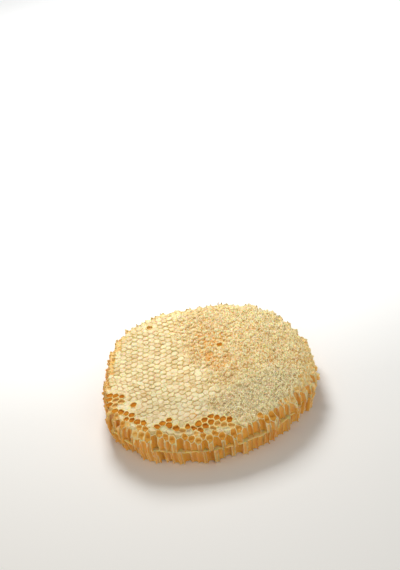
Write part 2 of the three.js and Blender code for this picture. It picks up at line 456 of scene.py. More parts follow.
class Layer:
    """The cells on one side of the midrib.

    Attributes:
        form: the comb's sizes.
        side: its side of the midrib.
        middles: where each cell stands or would stand, by its two numbers.
        cells: each cell by its two numbers.
        loop: the corners round the outside, anticlockwise.
    """

    def __init__(self, form: Form, side: Side, aside: float, seed: int, drawn_in: float) -> None:
        """Grows the layer.

        Args:
            form: the comb's sizes.
            side: its side of the midrib.
            aside: how far the cells are moved along X.
            seed: picks how the cells stray.
            drawn_in: how much sooner the rows end than the upper ones do.
        """
        self.form, self.side = form, side
        turn = math.radians(form.row_turn)
        across = form.pitch * np.array([math.cos(turn), math.sin(turn)])
        up = form.pitch * np.array([math.cos(turn + TAU / 3), math.sin(turn + TAU / 3)])
        reach = np.arange(-form.last_cell - 1, form.last_cell + 2)
        i, j = (grid.ravel() for grid in np.meshgrid(reach, reach, indexing="ij"))
        x0 = form.first_cell[0] + aside + i * across[0] + j * up[0]
        y0 = form.first_cell[1] + i * across[1] + j * up[1]
        wave = TAU / form.sway_length
        slant_x, slant_y = form.sway_slant
        sway_x = form.row_sway * np.sin(wave * (y0 + slant_x * x0))
        sway_y = form.row_sway * np.sin(wave * (x0 + slant_y * y0))
        x = x0 + sway_x + form.unevenness * stray(i, j, seed)
        y = y0 + sway_y + form.unevenness * stray(i, j, seed + 1)
        x, y = form.pulled(x, y)
        past = form.past(x, y) + form.torn_row_stray * stray(i, j, 7)
        kept = past < form.torn_reach(x, y) - drawn_in
        open_ = form.unsealed(i, j) & (past < form.open_row_end)
        torn = past > form.torn_row_start
        self.middles = {(a, b): np.array([u, v]) for a, b, u, v in zip(i.tolist(), j.tolist(), x, y)}
        self.cells: dict[tuple[int, int], Cell] = {}
        for n in np.flatnonzero(kept):
            kind = Kind.OPEN if open_[n] else Kind.TORN if torn[n] else Kind.CAPPED
            name = (int(i[n]), int(j[n]))
            self.cells[name] = Cell(*name, self.middles[name], kind)
        self._drop_loose_cells()
        self.loop = self._follow(self._join_corners())

    def _drop_loose_cells(self) -> None:
        """Takes away each cell that shares too few walls with others."""
        for i, j in list(self.cells):
            held = sum((i + di, j + dj) in self.cells for di, dj in NEIGHBOURS)
            if held < self.form.fewest_walls_shared:
                del self.cells[i, j]

    def _join_corners(self) -> dict[int, tuple[Corner, Corner]]:
        """Gives each cell its corners, which neighbours share.

        Returns:
            For each edge of the outside, by the identity of its first corner, its two corners.
        """
        shared: dict[tuple[tuple[int, int], ...], Corner] = {}
        edges: dict[int, tuple[Corner, Corner]] = {}
        for cell in self.cells.values():
            for k in range(6):
                steps = ((0, 0), NEIGHBOURS[k], NEIGHBOURS[(k + 1) % 6])
                around = [(cell.i + di, cell.j + dj) for di, dj in steps]
                name = tuple(sorted(around))
                if name not in shared:
                    shared[name] = self._corner(cell, k, around)
                cell.corners.append(shared[name])
            for k, (di, dj) in enumerate(NEIGHBOURS):
                if (cell.i + di, cell.j + dj) not in self.cells:
                    ends = (cell.corners[(k + 5) % 6], cell.corners[k])
                    edges[id(ends[0])] = ends
        return edges

    def _corner(self, cell: Cell, k: int, around: list[tuple[int, int]]) -> Corner:
        """Makes a corner where three cells meet.

        Args:
            cell: the first of them.
            k: which of that cell's corners it is.
            around: the numbers of all three.

        Returns:
            The corner, with the reach of a broken wall where two of the cells aren't there.
        """
        form = self.form
        aside = np.array([stray(cell.i, cell.j, 41 + k), stray(cell.i, cell.j, 51 + k)])
        place = sum(self.middles[n] for n in around) / 3 + form.corner_stray * aside
        kinds = [self.cells[n].kind if n in self.cells else None for n in around]
        if kinds.count(None) < 2:
            return Corner(place, kinds)
        tip = form.ridge_reach + form.ridge_stray * float(stray(cell.i, cell.j, 11 + k))
        return Corner(place, kinds, tip, place / np.hypot(*place))

    @staticmethod
    def _follow(edges: dict[int, tuple[Corner, Corner]]) -> list[Corner]:
        """Goes once round the outside.

        Args:
            edges: the two corners of each edge, by the identity of the first.

        Returns:
            The corners, in order.
        """
        start = next(iter(edges.values()))[0]
        loop, at = [start], edges[id(start)][1]
        while at is not start:
            loop.append(at)
            at = edges[id(at)][1]
        return loop

    def of_kind(self, *kinds: Kind) -> list[Cell]:
        """The cells of these kinds."""
        return [cell for cell in self.cells.values() if cell.kind in kinds]


# ---- meshes ----


class Skin:
    """Gathers points, faces and what varies over them, then makes one object.

    Attributes:
        points: the points of each patch, in millimetres.
        faces: the faces of each patch, by the numbers of their corners in the whole.
        fields: what varies over each patch, by name.
        count: how many points there are so far.
    """

    def __init__(self) -> None:
        """An empty skin."""
        self.points: list[Array] = []
        self.faces: list[Array] = []
        self.fields: list[dict[str, Array]] = []
        self.count = 0

    def add(self, points: Array, faces: Array, **fields: Array | float) -> None:
        """Adds a patch.

        Args:
            points: its points, in millimetres, three numbers each.
            faces: the numbers of each face's corners, in the patch's own count.
            fields: a value for each point, or one for all, by name.
        """
        self.points.append(points)
        self.faces.append(faces + self.count)
        self.fields.append({k: np.broadcast_to(v, len(points)) for k, v in fields.items()})
        self.count += len(points)

    def add_grid(self, points: Array, closed: bool = False, **fields: Array) -> None:
        """Adds a sheet of four-sided faces.

        Args:
            points: rows by columns by three.
            closed: joins each row's end to its start.
            fields: rows by columns, by name.
        """
        rows, columns = points.shape[:2]
        number = np.arange(rows * columns).reshape(rows, columns)
        if closed:
            number = np.concatenate([number, number[:, :1]], axis=1)
        quads = np.stack([number[:-1, :-1], number[:-1, 1:], number[1:, 1:], number[1:, :-1]], axis=-1)
        flat = {k: np.broadcast_to(v, (rows, columns)).ravel() for k, v in fields.items()}
        self.add(points.reshape(-1, 3), quads.reshape(-1, 4), **flat)

    def build(self, name: str, weld: float = 0.002) -> Piece:
        """Makes the object.

        Args:
            name: its name.
            weld: points that agree to this many millimetres become one.

        Returns:
            The object, smooth-shaded and linked to the scene.
        """
        points = np.concatenate(self.points)
        _, first, number = np.unique(
            np.round(points / weld).astype(np.int64), axis=0, return_index=True, return_inverse=True)
        number = number.ravel()
        faces: list[tuple[int, ...]] = []
        for block in self.faces:
            for face in number[block].tolist():
                ring = [n for k, n in enumerate(face) if n != face[k - 1]]
                if len(ring) > 2 and len(set(ring)) == len(ring):
                    faces.append(tuple(ring))
        mesh = bpy.data.meshes.new(name)
        mesh.from_pydata((points[first] * MM).tolist(), [], faces)
        mesh.polygons.foreach_set("use_smooth", np.ones(len(faces), bool))
        for label in self.fields[0]:
            values = np.concatenate([fields[label] for fields in self.fields])[first]
            layer = mesh.attributes.new(label, "FLOAT", "POINT")
            layer.data.foreach_set("value", values.astype(np.float32))
        mesh.update()
        piece = bpy.data.objects.new(name, mesh)
        bpy.context.scene.collection.objects.link(piece)
        return piece


@dataclass(frozen=True)
class HexPatch:
    """A six-sided patch of triangles, finer with more steps.

    Attributes:
        steps: how many parts each side has.
    """

    steps: int

    def lay(self, cells: Cells) -> Patches:
        """Lays one such patch on each of some cells."""
        return Patches(cells, *self.template())

    def template(self) -> tuple[Array, Array, Array, Array]:
        """The patch without a shape.

        Returns:
            The sector, the share of the way out and the share along the side of each point, and
            the triangles.
        """
        rows = [(0, 0.0, 0.0)]
        start = [0]
        for ring in range(1, self.steps + 1):
            start.append(len(rows))
            rows += [(k, ring / self.steps, j / ring) for k in range(6) for j in range(ring)]
        triangles = []
        for ring in range(1, self.steps + 1):
            out, into = 6 * ring, max(6 * (ring - 1), 1)
            for k in range(6):
                for j in range(ring):
                    a = start[ring] + (k * ring + j) % out
                    b = start[ring] + (k * ring + j + 1) % out
                    c = start[ring - 1] + (k * (ring - 1) + j) % into
                    triangles.append((a, b, c))
                    if j < ring - 1:
                        d = start[ring - 1] + (k * (ring - 1) + j + 1) % into
                        triangles.append((c, b, d))
        sector, share, along = (np.array(column) for column in zip(*rows))
        return sector, share, along, np.array(triangles)


def corner_table(cells: Cells, value: Callable[[Corner], Iterable[float] | float]) -> Array:
    """A value of each corner of each cell, cells by six."""
    return np.array([[value(corner) for corner in cell.corners] for cell in cells], float)


SQUARENESS = 8  # how closely the rings keep to six sides; more would be sharper


def roundness(points: Array, middles: Array, corners: Array) -> Array:
    """How near each point is to its cell's wall, on rounded six-sided rings: 1 at the wall.

    Args:
        points: cells by points by two.
        middles: cells by two.
        corners: cells by six by two.

    Returns:
        Cells by points.
    """
    following = np.roll(corners, -1, axis=1)
    normal = np.stack([following[..., 1] - corners[..., 1], corners[..., 0] - following[..., 0]], -1)
    reach = np.einsum("ckd,ckd->ck", normal, corners - middles[:, None])
    share = np.einsum("ckd,cpd->cpk", normal, points - middles[:, None]) / reach[:, None]
    return np.minimum((np.maximum(share, 0) ** SQUARENESS).sum(-1) ** (1 / SQUARENESS), 1)


def ovals(middles: Array, corners: Array) -> Array:
    """The oval that fits inside each cell, touching its walls.

    Args:
        middles: cells by two.
        corners: cells by six by two.

    Returns:
        For each cell, the two by two matrix that turns the unit circle into its oval.
    """
    out = corners - middles[:, None]
    spread, axes = np.linalg.eigh(2 * np.einsum("ckd,cke->cde", out, out) / 6)
    reach = math.cos(math.radians(30)) * np.sqrt(spread)
    return np.einsum("cdk,ck,cek->cde", axes, reach, axes)


def along_sides(corners: Array, sector: Array, along: Array) -> Array:
    """Points on the sides of cells.

    Args:
        corners: cells by six by two.
        sector: the side that each point lies on.
        along: how far along that side it lies.

    Returns:
        Cells by points by two.
    """
    start, end = corners[:, sector], corners[:, (sector + 1) % 6]
    return start + (end - start) * along[:, None]


def numbers(cells: Cells) -> tuple[Array, Array]:
    """The two numbers of each cell, as two columns."""
    both = np.array([(cell.i, cell.j) for cell in cells])
    return both[:, :1], both[:, 1:]


def fan(count: int) -> Array:
    """Triangles that join a ring of so many points to one more point in its middle."""
    return np.array([[k, (k + 1) % count, count] for k in range(count)])


@dataclass
class Patches:
    """Flat six-sided patches, one on each of some cells.

    Attributes:
        cells: the cells.
        sector: the side of its cell that each point of a patch belongs to.
        share: how far out it lies, from 0 in the middle to 1 at the wall.
        along: how far along that side it lies.
        triangles: the triangles of one patch.
        middles: the cells' middles, cells by two.
        corners: their corners, cells by six by two.
        flat: the points, cells by points by two.
    """

    cells: Cells
    sector: Array
    share: Array
    along: Array
    triangles: Array
    middles: Array = field(init=False)
    corners: Array = field(init=False)
    flat: Array = field(init=False)

    def __post_init__(self) -> None:
        """Lays the points out."""
        self.middles = np.array([cell.middle for cell in self.cells])
        self.corners = corner_table(self.cells, lambda c: c.place)
        side = along_sides(self.corners, self.sector, self.along)
        self.flat = self.middles[:, None] + (side - self.middles[:, None]) * self.share[:, None]

    @property
    def x(self) -> Array:
        """How far each point lies along X, cells by points."""
        return self.flat[..., 0]

    @property
    def y(self) -> Array:
        """How far each point lies along Y, cells by points."""
        return self.flat[..., 1]

    @property
    def from_middle(self) -> tuple[Array, Array]:
        """How far each point lies from its cell's middle, along X and along Y."""
        return self.x - self.middles[:, :1], self.y - self.middles[:, 1:]

    @property
    def faces(self) -> Array:
        """The triangles of all the patches."""
        first = len(self.share) * np.arange(len(self.cells))
        return (self.triangles[None] + first[:, None, None]).reshape(-1, 3)

    def spread(self, values: Array) -> Array:
        """One value for each point, from one for each cell or for each point."""
        return np.broadcast_to(values, self.x.shape).ravel()


# ---- how the faces look ----


@dataclass(frozen=True)
class Ridges:
    """Winding ridges of crinkled wax, in two slanting families that meet in points.

    Attributes:
        wavelength: how far apart they lie.
        stretch: how many times longer than wide their windings are.
        slant: how far each family leans from the Y axis, in degrees.
        width: how wide they are, as a share of the noise they follow.
        seed: picks one pattern.
        lull: how far apart the places lie where they fade, as a share of the wavelength.
        faintest: how high they are left there.
    """

    wavelength: float
    stretch: float
    slant: float
    width: float
    seed: int
    lull: float = 1.7
    faintest: float = 0.35

    def __call__(self, x: Array, y: Array) -> Array:
        """Raises the ridges.

        Args:
            x, y: the points.

        Returns:
            How high the ridges stand at each point, from 0 to 1.
        """
        families = []
        for side in (1, -1):
            lean = math.radians(self.slant * side)
            across = math.cos(lean) * x - math.sin(lean) * y
            along = (math.sin(lean) * x + math.cos(lean) * y) / self.stretch
            crest = Ripple(self.wavelength, self.seed + side).crest(across, along, self.width)
            strong = Ripple(self.lull * self.wavelength, self.seed + 5 + side)(across, along)
            families.append(crest * blend(self.faintest, 1, smooth(strong, -0.5, 0.35)))
        return np.maximum(*families)


@dataclass(frozen=True)
class Face:
    """What the upper face is like from place to place.

    Attributes:
        form: the comb's sizes.
        crinkle_line: where plump caps give way to crinkled ones, as pairs of Y and X.
        crinkle_width: how far the change reaches on each side of it.
        soaked: where honey shows through the caps.
        worn_and_shaded: where the caps are low, greyish and finely crumbled; the greyer, darker colour
            there is partly painted shade.
        painted_shade: where the wax is painted a little darker as shade, mostly towards the front.
        dry: the open cells that hold no honey, by their two numbers.
        rim_rise: how far the rims of open cells stand up, in millimetres.
        wander: how far the cells' walls wander from straight.
        long_wander: the same over several cells.
        wall_lip: how far the walls stand up between sunken caps at most.
        worn_lip: the share of that where the face is worn.
        merged_rise: how much the walls' tops rise where plump caps have grown together.
        coarse: the crinkles of the back right.
        fine: the crinkles of the front right.
    """

    form: Form
    crinkle_line: tuple[Pair, ...] = (
        (-64, -6), (-50, -4), (-31, 3), (0, -8), (31, -22), (72, -18),
    )
    crinkle_width: float = 8.0
    soaked: tuple[Spot, ...] = (
        Spot(2, 50, 9, 0.5), Spot(-3, 34, 9, 0.8), Spot(7, 24, 10, 1.1), Spot(4, 8, 9, 1.0),
        Spot(8, 25, 3, 1.5),
        Spot(13, -4, 9, 0.6), Spot(-24, 51, 9, 0.6), Spot(40, 40, 8, 0.5), Spot(18, 36, 8, 0.5),
        Spot(-10, 18, 9, 0.5), Spot(38, 16, 9, 0.4), Spot(78, -6, 11, 0.8), Spot(-18, -57, 7, 0.8),
        Spot(-27, 2, 12, 0.3), Spot(27, -2, 10, 0.4), Spot(52, 0, 10, 0.4), Spot(-12, -24, 10, 0.25),
        Spot(73, -34, 8, 0.7), Spot(62, -46, 7, 0.4), Spot(80, 12, 9, 0.5), Spot(-10, -62, 8, 0.5),
    )
    # Spots of wear; the greyer, darker colour there is partly painted shade, and the weak spot at the
    # front left mostly stands for painted shade.
    worn_and_shaded: tuple[Spot, ...] = (
        Spot(40, -42, 24, 1.2), Spot(60, -28, 17, 0.9), Spot(8, -52, 18, 0.5), Spot(-30, -56, 26, 0.3),
    )
    # Painted shade: spots where the wax is darkened to stand in for shade and the falling off of light,
    # mostly towards the front.
    painted_shade: tuple[Spot, ...] = (
        Spot(-45, -48, 36, 0.9), Spot(-8, -62, 32, 0.7), Spot(35, -70, 30, 0.2), Spot(-48, 40, 34, 0.5),
    )
    dry: frozenset[tuple[int, int]] = frozenset((
        (9, 0), (14, 2), (15, 3), (16, 3), (17, 3), (-2, 2), (-2, 1), (-1, 2), (5, 22),
    ))
    rim_rise: float = 0.85
    wander: float = 0.55
    long_wander: float = 0.35
    wall_lip: float = 1.15
    worn_lip: float = 0.45
    merged_rise: float = 0.45
    coarse: Ridges = Ridges(3.1, 1.4, 36, 0.34, 50)
    fine: Ridges = Ridges(2.4, 1.25, 38, 0.36, 70)

    def warp(self, x: Array, y: Array) -> tuple[Array, Array]:
        """Moves points aside by a little, the same for neighbours.

        Args:
            x, y: the points.

        Returns:
            Where they go, along X and along Y.
        """
        aside = self.wander * Ripple(3.4, 31)(x, y) + self.long_wander * Ripple(8, 39)(x, y)
        up = self.wander * Ripple(3.4, 32)(x, y) + self.long_wander * Ripple(8, 40)(x, y)
        return x + aside, y + up

    def crinkle_edge(self, y: Array) -> Array:
        """How far along X the line between plump and crinkled caps lies."""
        return np.interp(y, *zip(*self.crinkle_line))

    def crinkled(self, x: Array, y: Array) -> Array:
        """How crinkled rather than plump the caps are."""
        past = x - self.crinkle_edge(y) + 9 * Ripple(13, 41)(x, y) + 3 * Ripple(5, 42)(x, y)
        return smooth(past, -self.crinkle_width, self.crinkle_width)

    def crumbled(self, x: Array, y: Array) -> Array:
        """How worn and finely crumbled they are, which also greys and darkens their colour, partly as
        painted shade.
        """
        strength = sum(spot.at(x, y) for spot in self.worn_and_shaded)
        return smooth(strength + 0.25 * Ripple(11, 43)(x, y) + 0.2 * Ripple(4, 77)(x, y), 0.15, 1.05)

    def soak(self, x: Array, y: Array) -> Array:
        """How far honey shows through, in blotches.

        Args:
            x, y: the points.

        Returns:
            Its strength at each point, from 0 to 1.
        """
        strength = sum(spot.at(x, y) for spot in self.soaked)
        blotch = 0.75 + 0.7 * Ripple(7, 44)(x, y) + 0.6 * Ripple(3.2, 45)(x, y)
        return np.clip(strength * blotch, 0, 1)

    def age(self, x: Array, y: Array) -> Array:
        """How far the wax is painted darker as shade, from 0 to 1."""
        return np.clip(sum(spot.at(x, y) for spot in self.painted_shade), 0, 1)

    def runny(self, x: Array, y: Array) -> Array:
        """How wet with honey the torn edge is in the direction of each point, most at the left."""
        return smooth(-x / np.hypot(x, y), 0.6, 0.95)

    def strewn(self, x: Array, y: Array) -> Array:
        """How strewn with crumbs the torn edge is in that direction, most at the right."""
        return smooth(x / np.hypot(x, y), 0.5, 0.8)

    def merged(self, x: Array, y: Array) -> Array:
        """How far neighbouring caps have grown together, from 0 to 1."""
        return smooth(Ripple(5.5, 48)(x, y) + 0.5 * Ripple(2.6, 60)(x, y), 0.0, 0.8)

    def lip(self, x: Array, y: Array) -> Array:
        """How far the cells' walls stand up between sunken caps.

        Args:
            x, y: the points.

        Returns:
            Their height at each point, in millimetres.
        """
        notch = Ripple(2.3, 61)(x, y) + 0.6 * Ripple(6, 62)(x, y)
        height = self.wall_lip * smooth(notch, -0.55, 0.75) * blend(0.45, 1, smooth(x, 15, 55))
        return height * self.crinkled(x, y) * blend(1, self.worn_lip, self.crumbled(x, y))

    def sag(self, x: Array, y: Array) -> Array:
        """How far the walls' tops lie above or below their even height, in millimetres."""
        merged = self.merged_rise * self.merged(x, y) * (1 - 0.7 * self.crinkled(x, y))
        return merged + 0.25 * Ripple(11, 49)(x, y) - 0.1 + self.lip(x, y)

    def ragged(self, x: Array, y: Array) -> Array:
        """How a torn wall's edge rises and falls, in millimetres."""
        spikes = np.abs(Ripple(2.6, 46)(x, y)) ** 0.8
        return 1.7 * spikes - 0.75 + 0.35 * Ripple(1.2, 47)(x, y)


@dataclass(frozen=True)
class Rims:
    """The heights along the tops of the walls, which all the cells' patches share.

    Attributes:
        face: what the face is like.
    """

    face: Face

    def heights(
        self, cells: Cells, points: Array, sector: Array, along: Array
    ) -> tuple[Array, Array]:
        """The height of the wall's top beside each point of each cell's patch.

        Args:
            cells: the cells.
            points: cells by points by two, on the walls or inside them.
            sector: the side that each point of a patch belongs to.
            along: how far along that side it lies.

        Returns:
            The even height and what raggedness adds to it, each cells by points, in millimetres.
        """
        x, y = points[..., 0], points[..., 1]
        face = self.face
        lift = self.beside(cells, sector, along, lambda c: c.open)
        torn = self.beside(cells, sector, along, lambda c: c.broken)
        level = face.form.groove(x, y) + face.sag(x, y) * (1 - torn) + face.rim_rise * lift
        return level, torn * face.ragged(x, y)

    @staticmethod
    def beside(
        cells: Cells, sector: Array, along: Array, value: Callable[[Corner], bool]
    ) -> Array:
        """How far the wall beside each point has a property of its corners, cells by points."""
        table = corner_table(cells, value)
        return blend(table[:, sector], table[:, (sector + 1) % 6], along)


# ---- the pieces of the comb ----


@dataclass
class Part:
    """A part of the comb, shaped after its face.

    Attributes:
        face: what the face is like.
        name: the name of its object.
    """

    face: Face
    name: str


@dataclass
class Cappings(Part):
    """The wax caps of the sealed cells.

    Attributes:
        patch: how finely each cap is made.
        hold: how close to the walls caps follow their tops; more is closer.
        lean: how far caps lean either way, as a slope.
        slope: the slope along Y that they all share.
        flatness: how flat the tops of plump caps are, at least and at most.
        bulge: how steep their edges are; less is steeper.
        fullness: how high they stand at the back and at the front, as shares of the rise.
        front: where the front begins and is full, along -Y.
        lumps: the heights of the broad and the fine lumps on them.
        dent: how deep the deepest dents in them are.
        dent_aside: how far from the middle a dent may lie.
        dent_area: the square of a dent's radius.
        wall: the width of a crinkled cap's edge, as a share of the way in.
        right: where the right side begins and is full, along X.
        lumpy: the draws between which a sunken cap turns into a raised lump.
        fewer_lumps: how much a lump counts at the right and where the face is worn.
        lump_aside: how far from its cell's middle it may lie.
        lump_radius: its least and greatest radius.
        lump_ragged: how uneven its outline is, as a share of that.
        lump_height: how high it stands, as a share of the rise.
        lump_foot: how deep its foot lies.
        sunken: how deep sunken caps lie, at least, and how much more at most.
        ridge_height: how high the ridges stand at the left and at the right.
        crumple: how high the lumps between them are.
        grit: how high the finest lumps are on a whole face and on a worn one.
        settled: how far down the crinkles lie as a whole.
        beside_open: how much lower caps lie beside an open cell, as a share.
        edge: where the sealed face's edge begins and is full, as distances past it.
        edge_low: how much lower caps lie there, as a share.
    """

    patch: HexPatch = HexPatch(9)
    hold: int = 5
    lean: float = 0.10
    slope: float = -0.04
    flatness: Pair = (3.5, 8.0)
    bulge: float = 0.75
    fullness: Pair = (0.69, 0.48)
    front: Pair = (10.0, 60.0)
    lumps: Pair = (0.20, 0.06)
    dent: float = 0.55
    dent_aside: float = 0.8
    dent_area: float = 1.1
    wall: float = 0.2
    right: Pair = (5.0, 60.0)
    lumpy: Pair = (0.1, 0.5)
    fewer_lumps: float = 0.35
    lump_aside: float = 0.7
    lump_radius: Pair = (1.9, 3.1)
    lump_ragged: float = 0.34
    lump_height: float = 1.2
    lump_foot: float = 0.2
    sunken: Pair = (0.15, 0.35)
    ridge_height: Pair = (0.8, 1.5)
    crumple: float = 0.45
    grit: Pair = (0.42, 0.62)
    settled: float = 0.32
    beside_open: float = 0.6
    edge: Pair = (-7.0, -1.0)
    edge_low: float = 0.2

    def build(self, cells: Cells) -> Piece:
        """Makes the caps of some cells as one object.

        Args:
            cells: the cells.

        Returns:
            The object.
        """
        face, form = self.face, self.face.form
        laid = self.patch.lay(cells)
        x, y, share = laid.x, laid.y, laid.share
        i, j = numbers(cells)
        level, ragged = Rims(face).heights(cells, laid.flat, laid.sector, laid.along)
        groove = form.groove(x, y)
        level = groove + (level - groove + ragged) * share**self.hold

        rise = form.cap_rise + form.cap_rise_stray * stray(i, j, 5)
        from_x, from_y = laid.from_middle
        lean_x, lean_y = self.lean * stray(i, j, 61), self.lean * stray(i, j, 62) + self.slope
        tilt = lean_x * from_x + lean_y * from_y
        out = roundness(laid.flat, laid.middles, laid.corners)
        dome = (1 - out ** blend(*self.flatness, chance(i, j, 63))) ** self.bulge
        lumps = self._lumps(laid)
        plump = blend(*self.fullness, smooth(-y, *self.front)) * rise * dome + (tilt + lumps) * dome
        crinkled, crumbled = face.crinkled(x, y), face.crumbled(x, y)
        opening = Rims.beside(cells, laid.sector, laid.along, lambda c: c.open)
        height = blend(plump, self._crinkle(laid, rise, tilt, crumbled), crinkled)
        height = height * (1 - self.beside_open * opening * smooth(share, 0.1, 0.75))
        lowered = 1 - self.edge_low * smooth(form.past(x, y), *self.edge)
        points = np.stack([*face.warp(x, y), level + height * lowered], axis=-1)

        # Painted light and shade: crest, which pales the colour, is high on the middle and on the back
        # of plump caps, the side that faces the key light, and low in their grooves; on crinkled caps
        # it follows height, so hollows are painted darker.
        back = np.clip(from_y / form.pitch, 0, 1)
        soft = np.clip(dome + 0.5 * lumps + 1.1 * back + 0.5 * face.merged(x, y), 0, 1)
        scaly = 0.55 * (1 - out**6) + 0.7 * (level - groove + height)
        crest = blend(soft, np.clip(scaly, 0, 1), crinkled)
        # rim pales the caps' edges beside an open cell, partly as a painted glow of light through the
        # wax.
        skin = Skin()
        skin.add(
            points.reshape(-1, 3), laid.faces, crest=laid.spread(crest), dull=laid.spread(crumbled),
            soak=laid.spread(face.soak(x, y) * blend(1.7, 0.25, crest)),
            crinkled=laid.spread(crinkled), rim=laid.spread(opening * share**self.hold),
            lone=laid.spread(chance(i, j, 64)), age=laid.spread(face.age(x, y)),
        )
        return skin.build(self.name)

    def _lumps(self, laid: Patches) -> Array:
        """The lumps and dents of plump caps.

        Args:
            laid: the caps' patches.

        Returns:
            The height that they add at each point.
        """
        x, y = laid.x, laid.y
        i, j = numbers(laid.cells)
        from_x, from_y = laid.from_middle
        broad, fine = self.lumps
        lumps = broad * Ripple(2.3, 33)(x, y) + fine * Ripple(0.95, 34)(x, y)
        dent_x = from_x - self.dent_aside * stray(i, j, 68)
        dent_y = from_y - self.dent_aside * stray(i, j, 69)
        dented = self.dent * smooth(chance(i, j, 70), 0.6, 1.0)
        return lumps - dented * np.exp(-(dent_x**2 + dent_y**2) / self.dent_area)

    def _crinkle(self, laid: Patches, rise: Array, tilt: Array, crumbled: Array) -> Array:
        """The height of crinkled caps over their grooves.

        Args:
            laid: the caps' patches.
            rise: how high each cap stands.
            tilt: what its lean adds at each point.
            crumbled: how worn the face is there.

        Returns:
            The height at each point.
        """
        x, y = laid.x, laid.y
        i, j = numbers(laid.cells)
        from_x, from_y = laid.from_middle
        right = smooth(x, *self.right)
        raised = smooth(chance(i, j, 71), *self.lumpy)
        raised = raised * blend(1, self.fewer_lumps, np.maximum(crumbled, right))
        lump_x = from_x - self.lump_aside * stray(i, j, 73)
        lump_y = from_y - self.lump_aside * stray(i, j, 74)
        away = np.hypot(lump_x, lump_y) / blend(*self.lump_radius, chance(i, j, 75))
        away = away + self.lump_ragged * Ripple(1.7, 76)(x, y)
        lump = (1 - np.clip(away, 0, 1) ** 2.6) ** 0.8
        lump = (self.lump_height * rise + tilt) * lump - self.lump_foot
        least, more = self.sunken
        sunken = -least - more * chance(i, j, 72)
        ridges = blend(self.face.coarse(x, y), self.face.fine(x, y), crumbled)
        grit = blend(*self.grit, crumbled) * Ripple(1.05, 36)(x, y)
        crumple = self.crumple * Ripple(1.9, 35)(x, y)
        rough = blend(*self.ridge_height, right) * ridges + crumple + grit - self.settled
        inside = smooth(1 - laid.share, 0, self.wall)
        return inside * (blend(sunken, lump, raised) + rough)


@dataclass(frozen=True)
class Step:
    """One ring of a cell's wall.

    Attributes:
        share: how far out it lies, from 0 in the middle to 1 at the wall.
        drop: how far down, in the same units as the last step's.
        round: how round it is, from 0 for six-sided to 1.
    """

    share: float
    drop: float
    round: float


LIP = (
    Step(1.0, 0.0, 0.0), Step(0.975, -0.05, 0.05), Step(0.945, -0.06, 0.15), Step(0.915, 0.0, 0.3),
    Step(0.895, 0.18, 0.4), Step(0.88, 0.45, 0.5), Step(0.865, 1.0, 0.6), Step(0.84, 2.0, 0.8),
    Step(0.75, 3.0, 1.0), Step(0.40, 3.6, 1.0),
)  # a whole wall with a rounded lip
TORN_LIP = (
    Step(1.0, 0.0, 0.0), Step(0.93, 0.0, 0.05), Step(0.87, 0.12, 0.1), Step(0.82, 0.5, 0.2),
    Step(0.75, 1.0, 0.35), Step(0.64, 1.35, 0.5), Step(0.48, 1.6, 0.7), Step(0.25, 1.75, 1.0),
)  # a torn wall that runs out into a shallow bowl


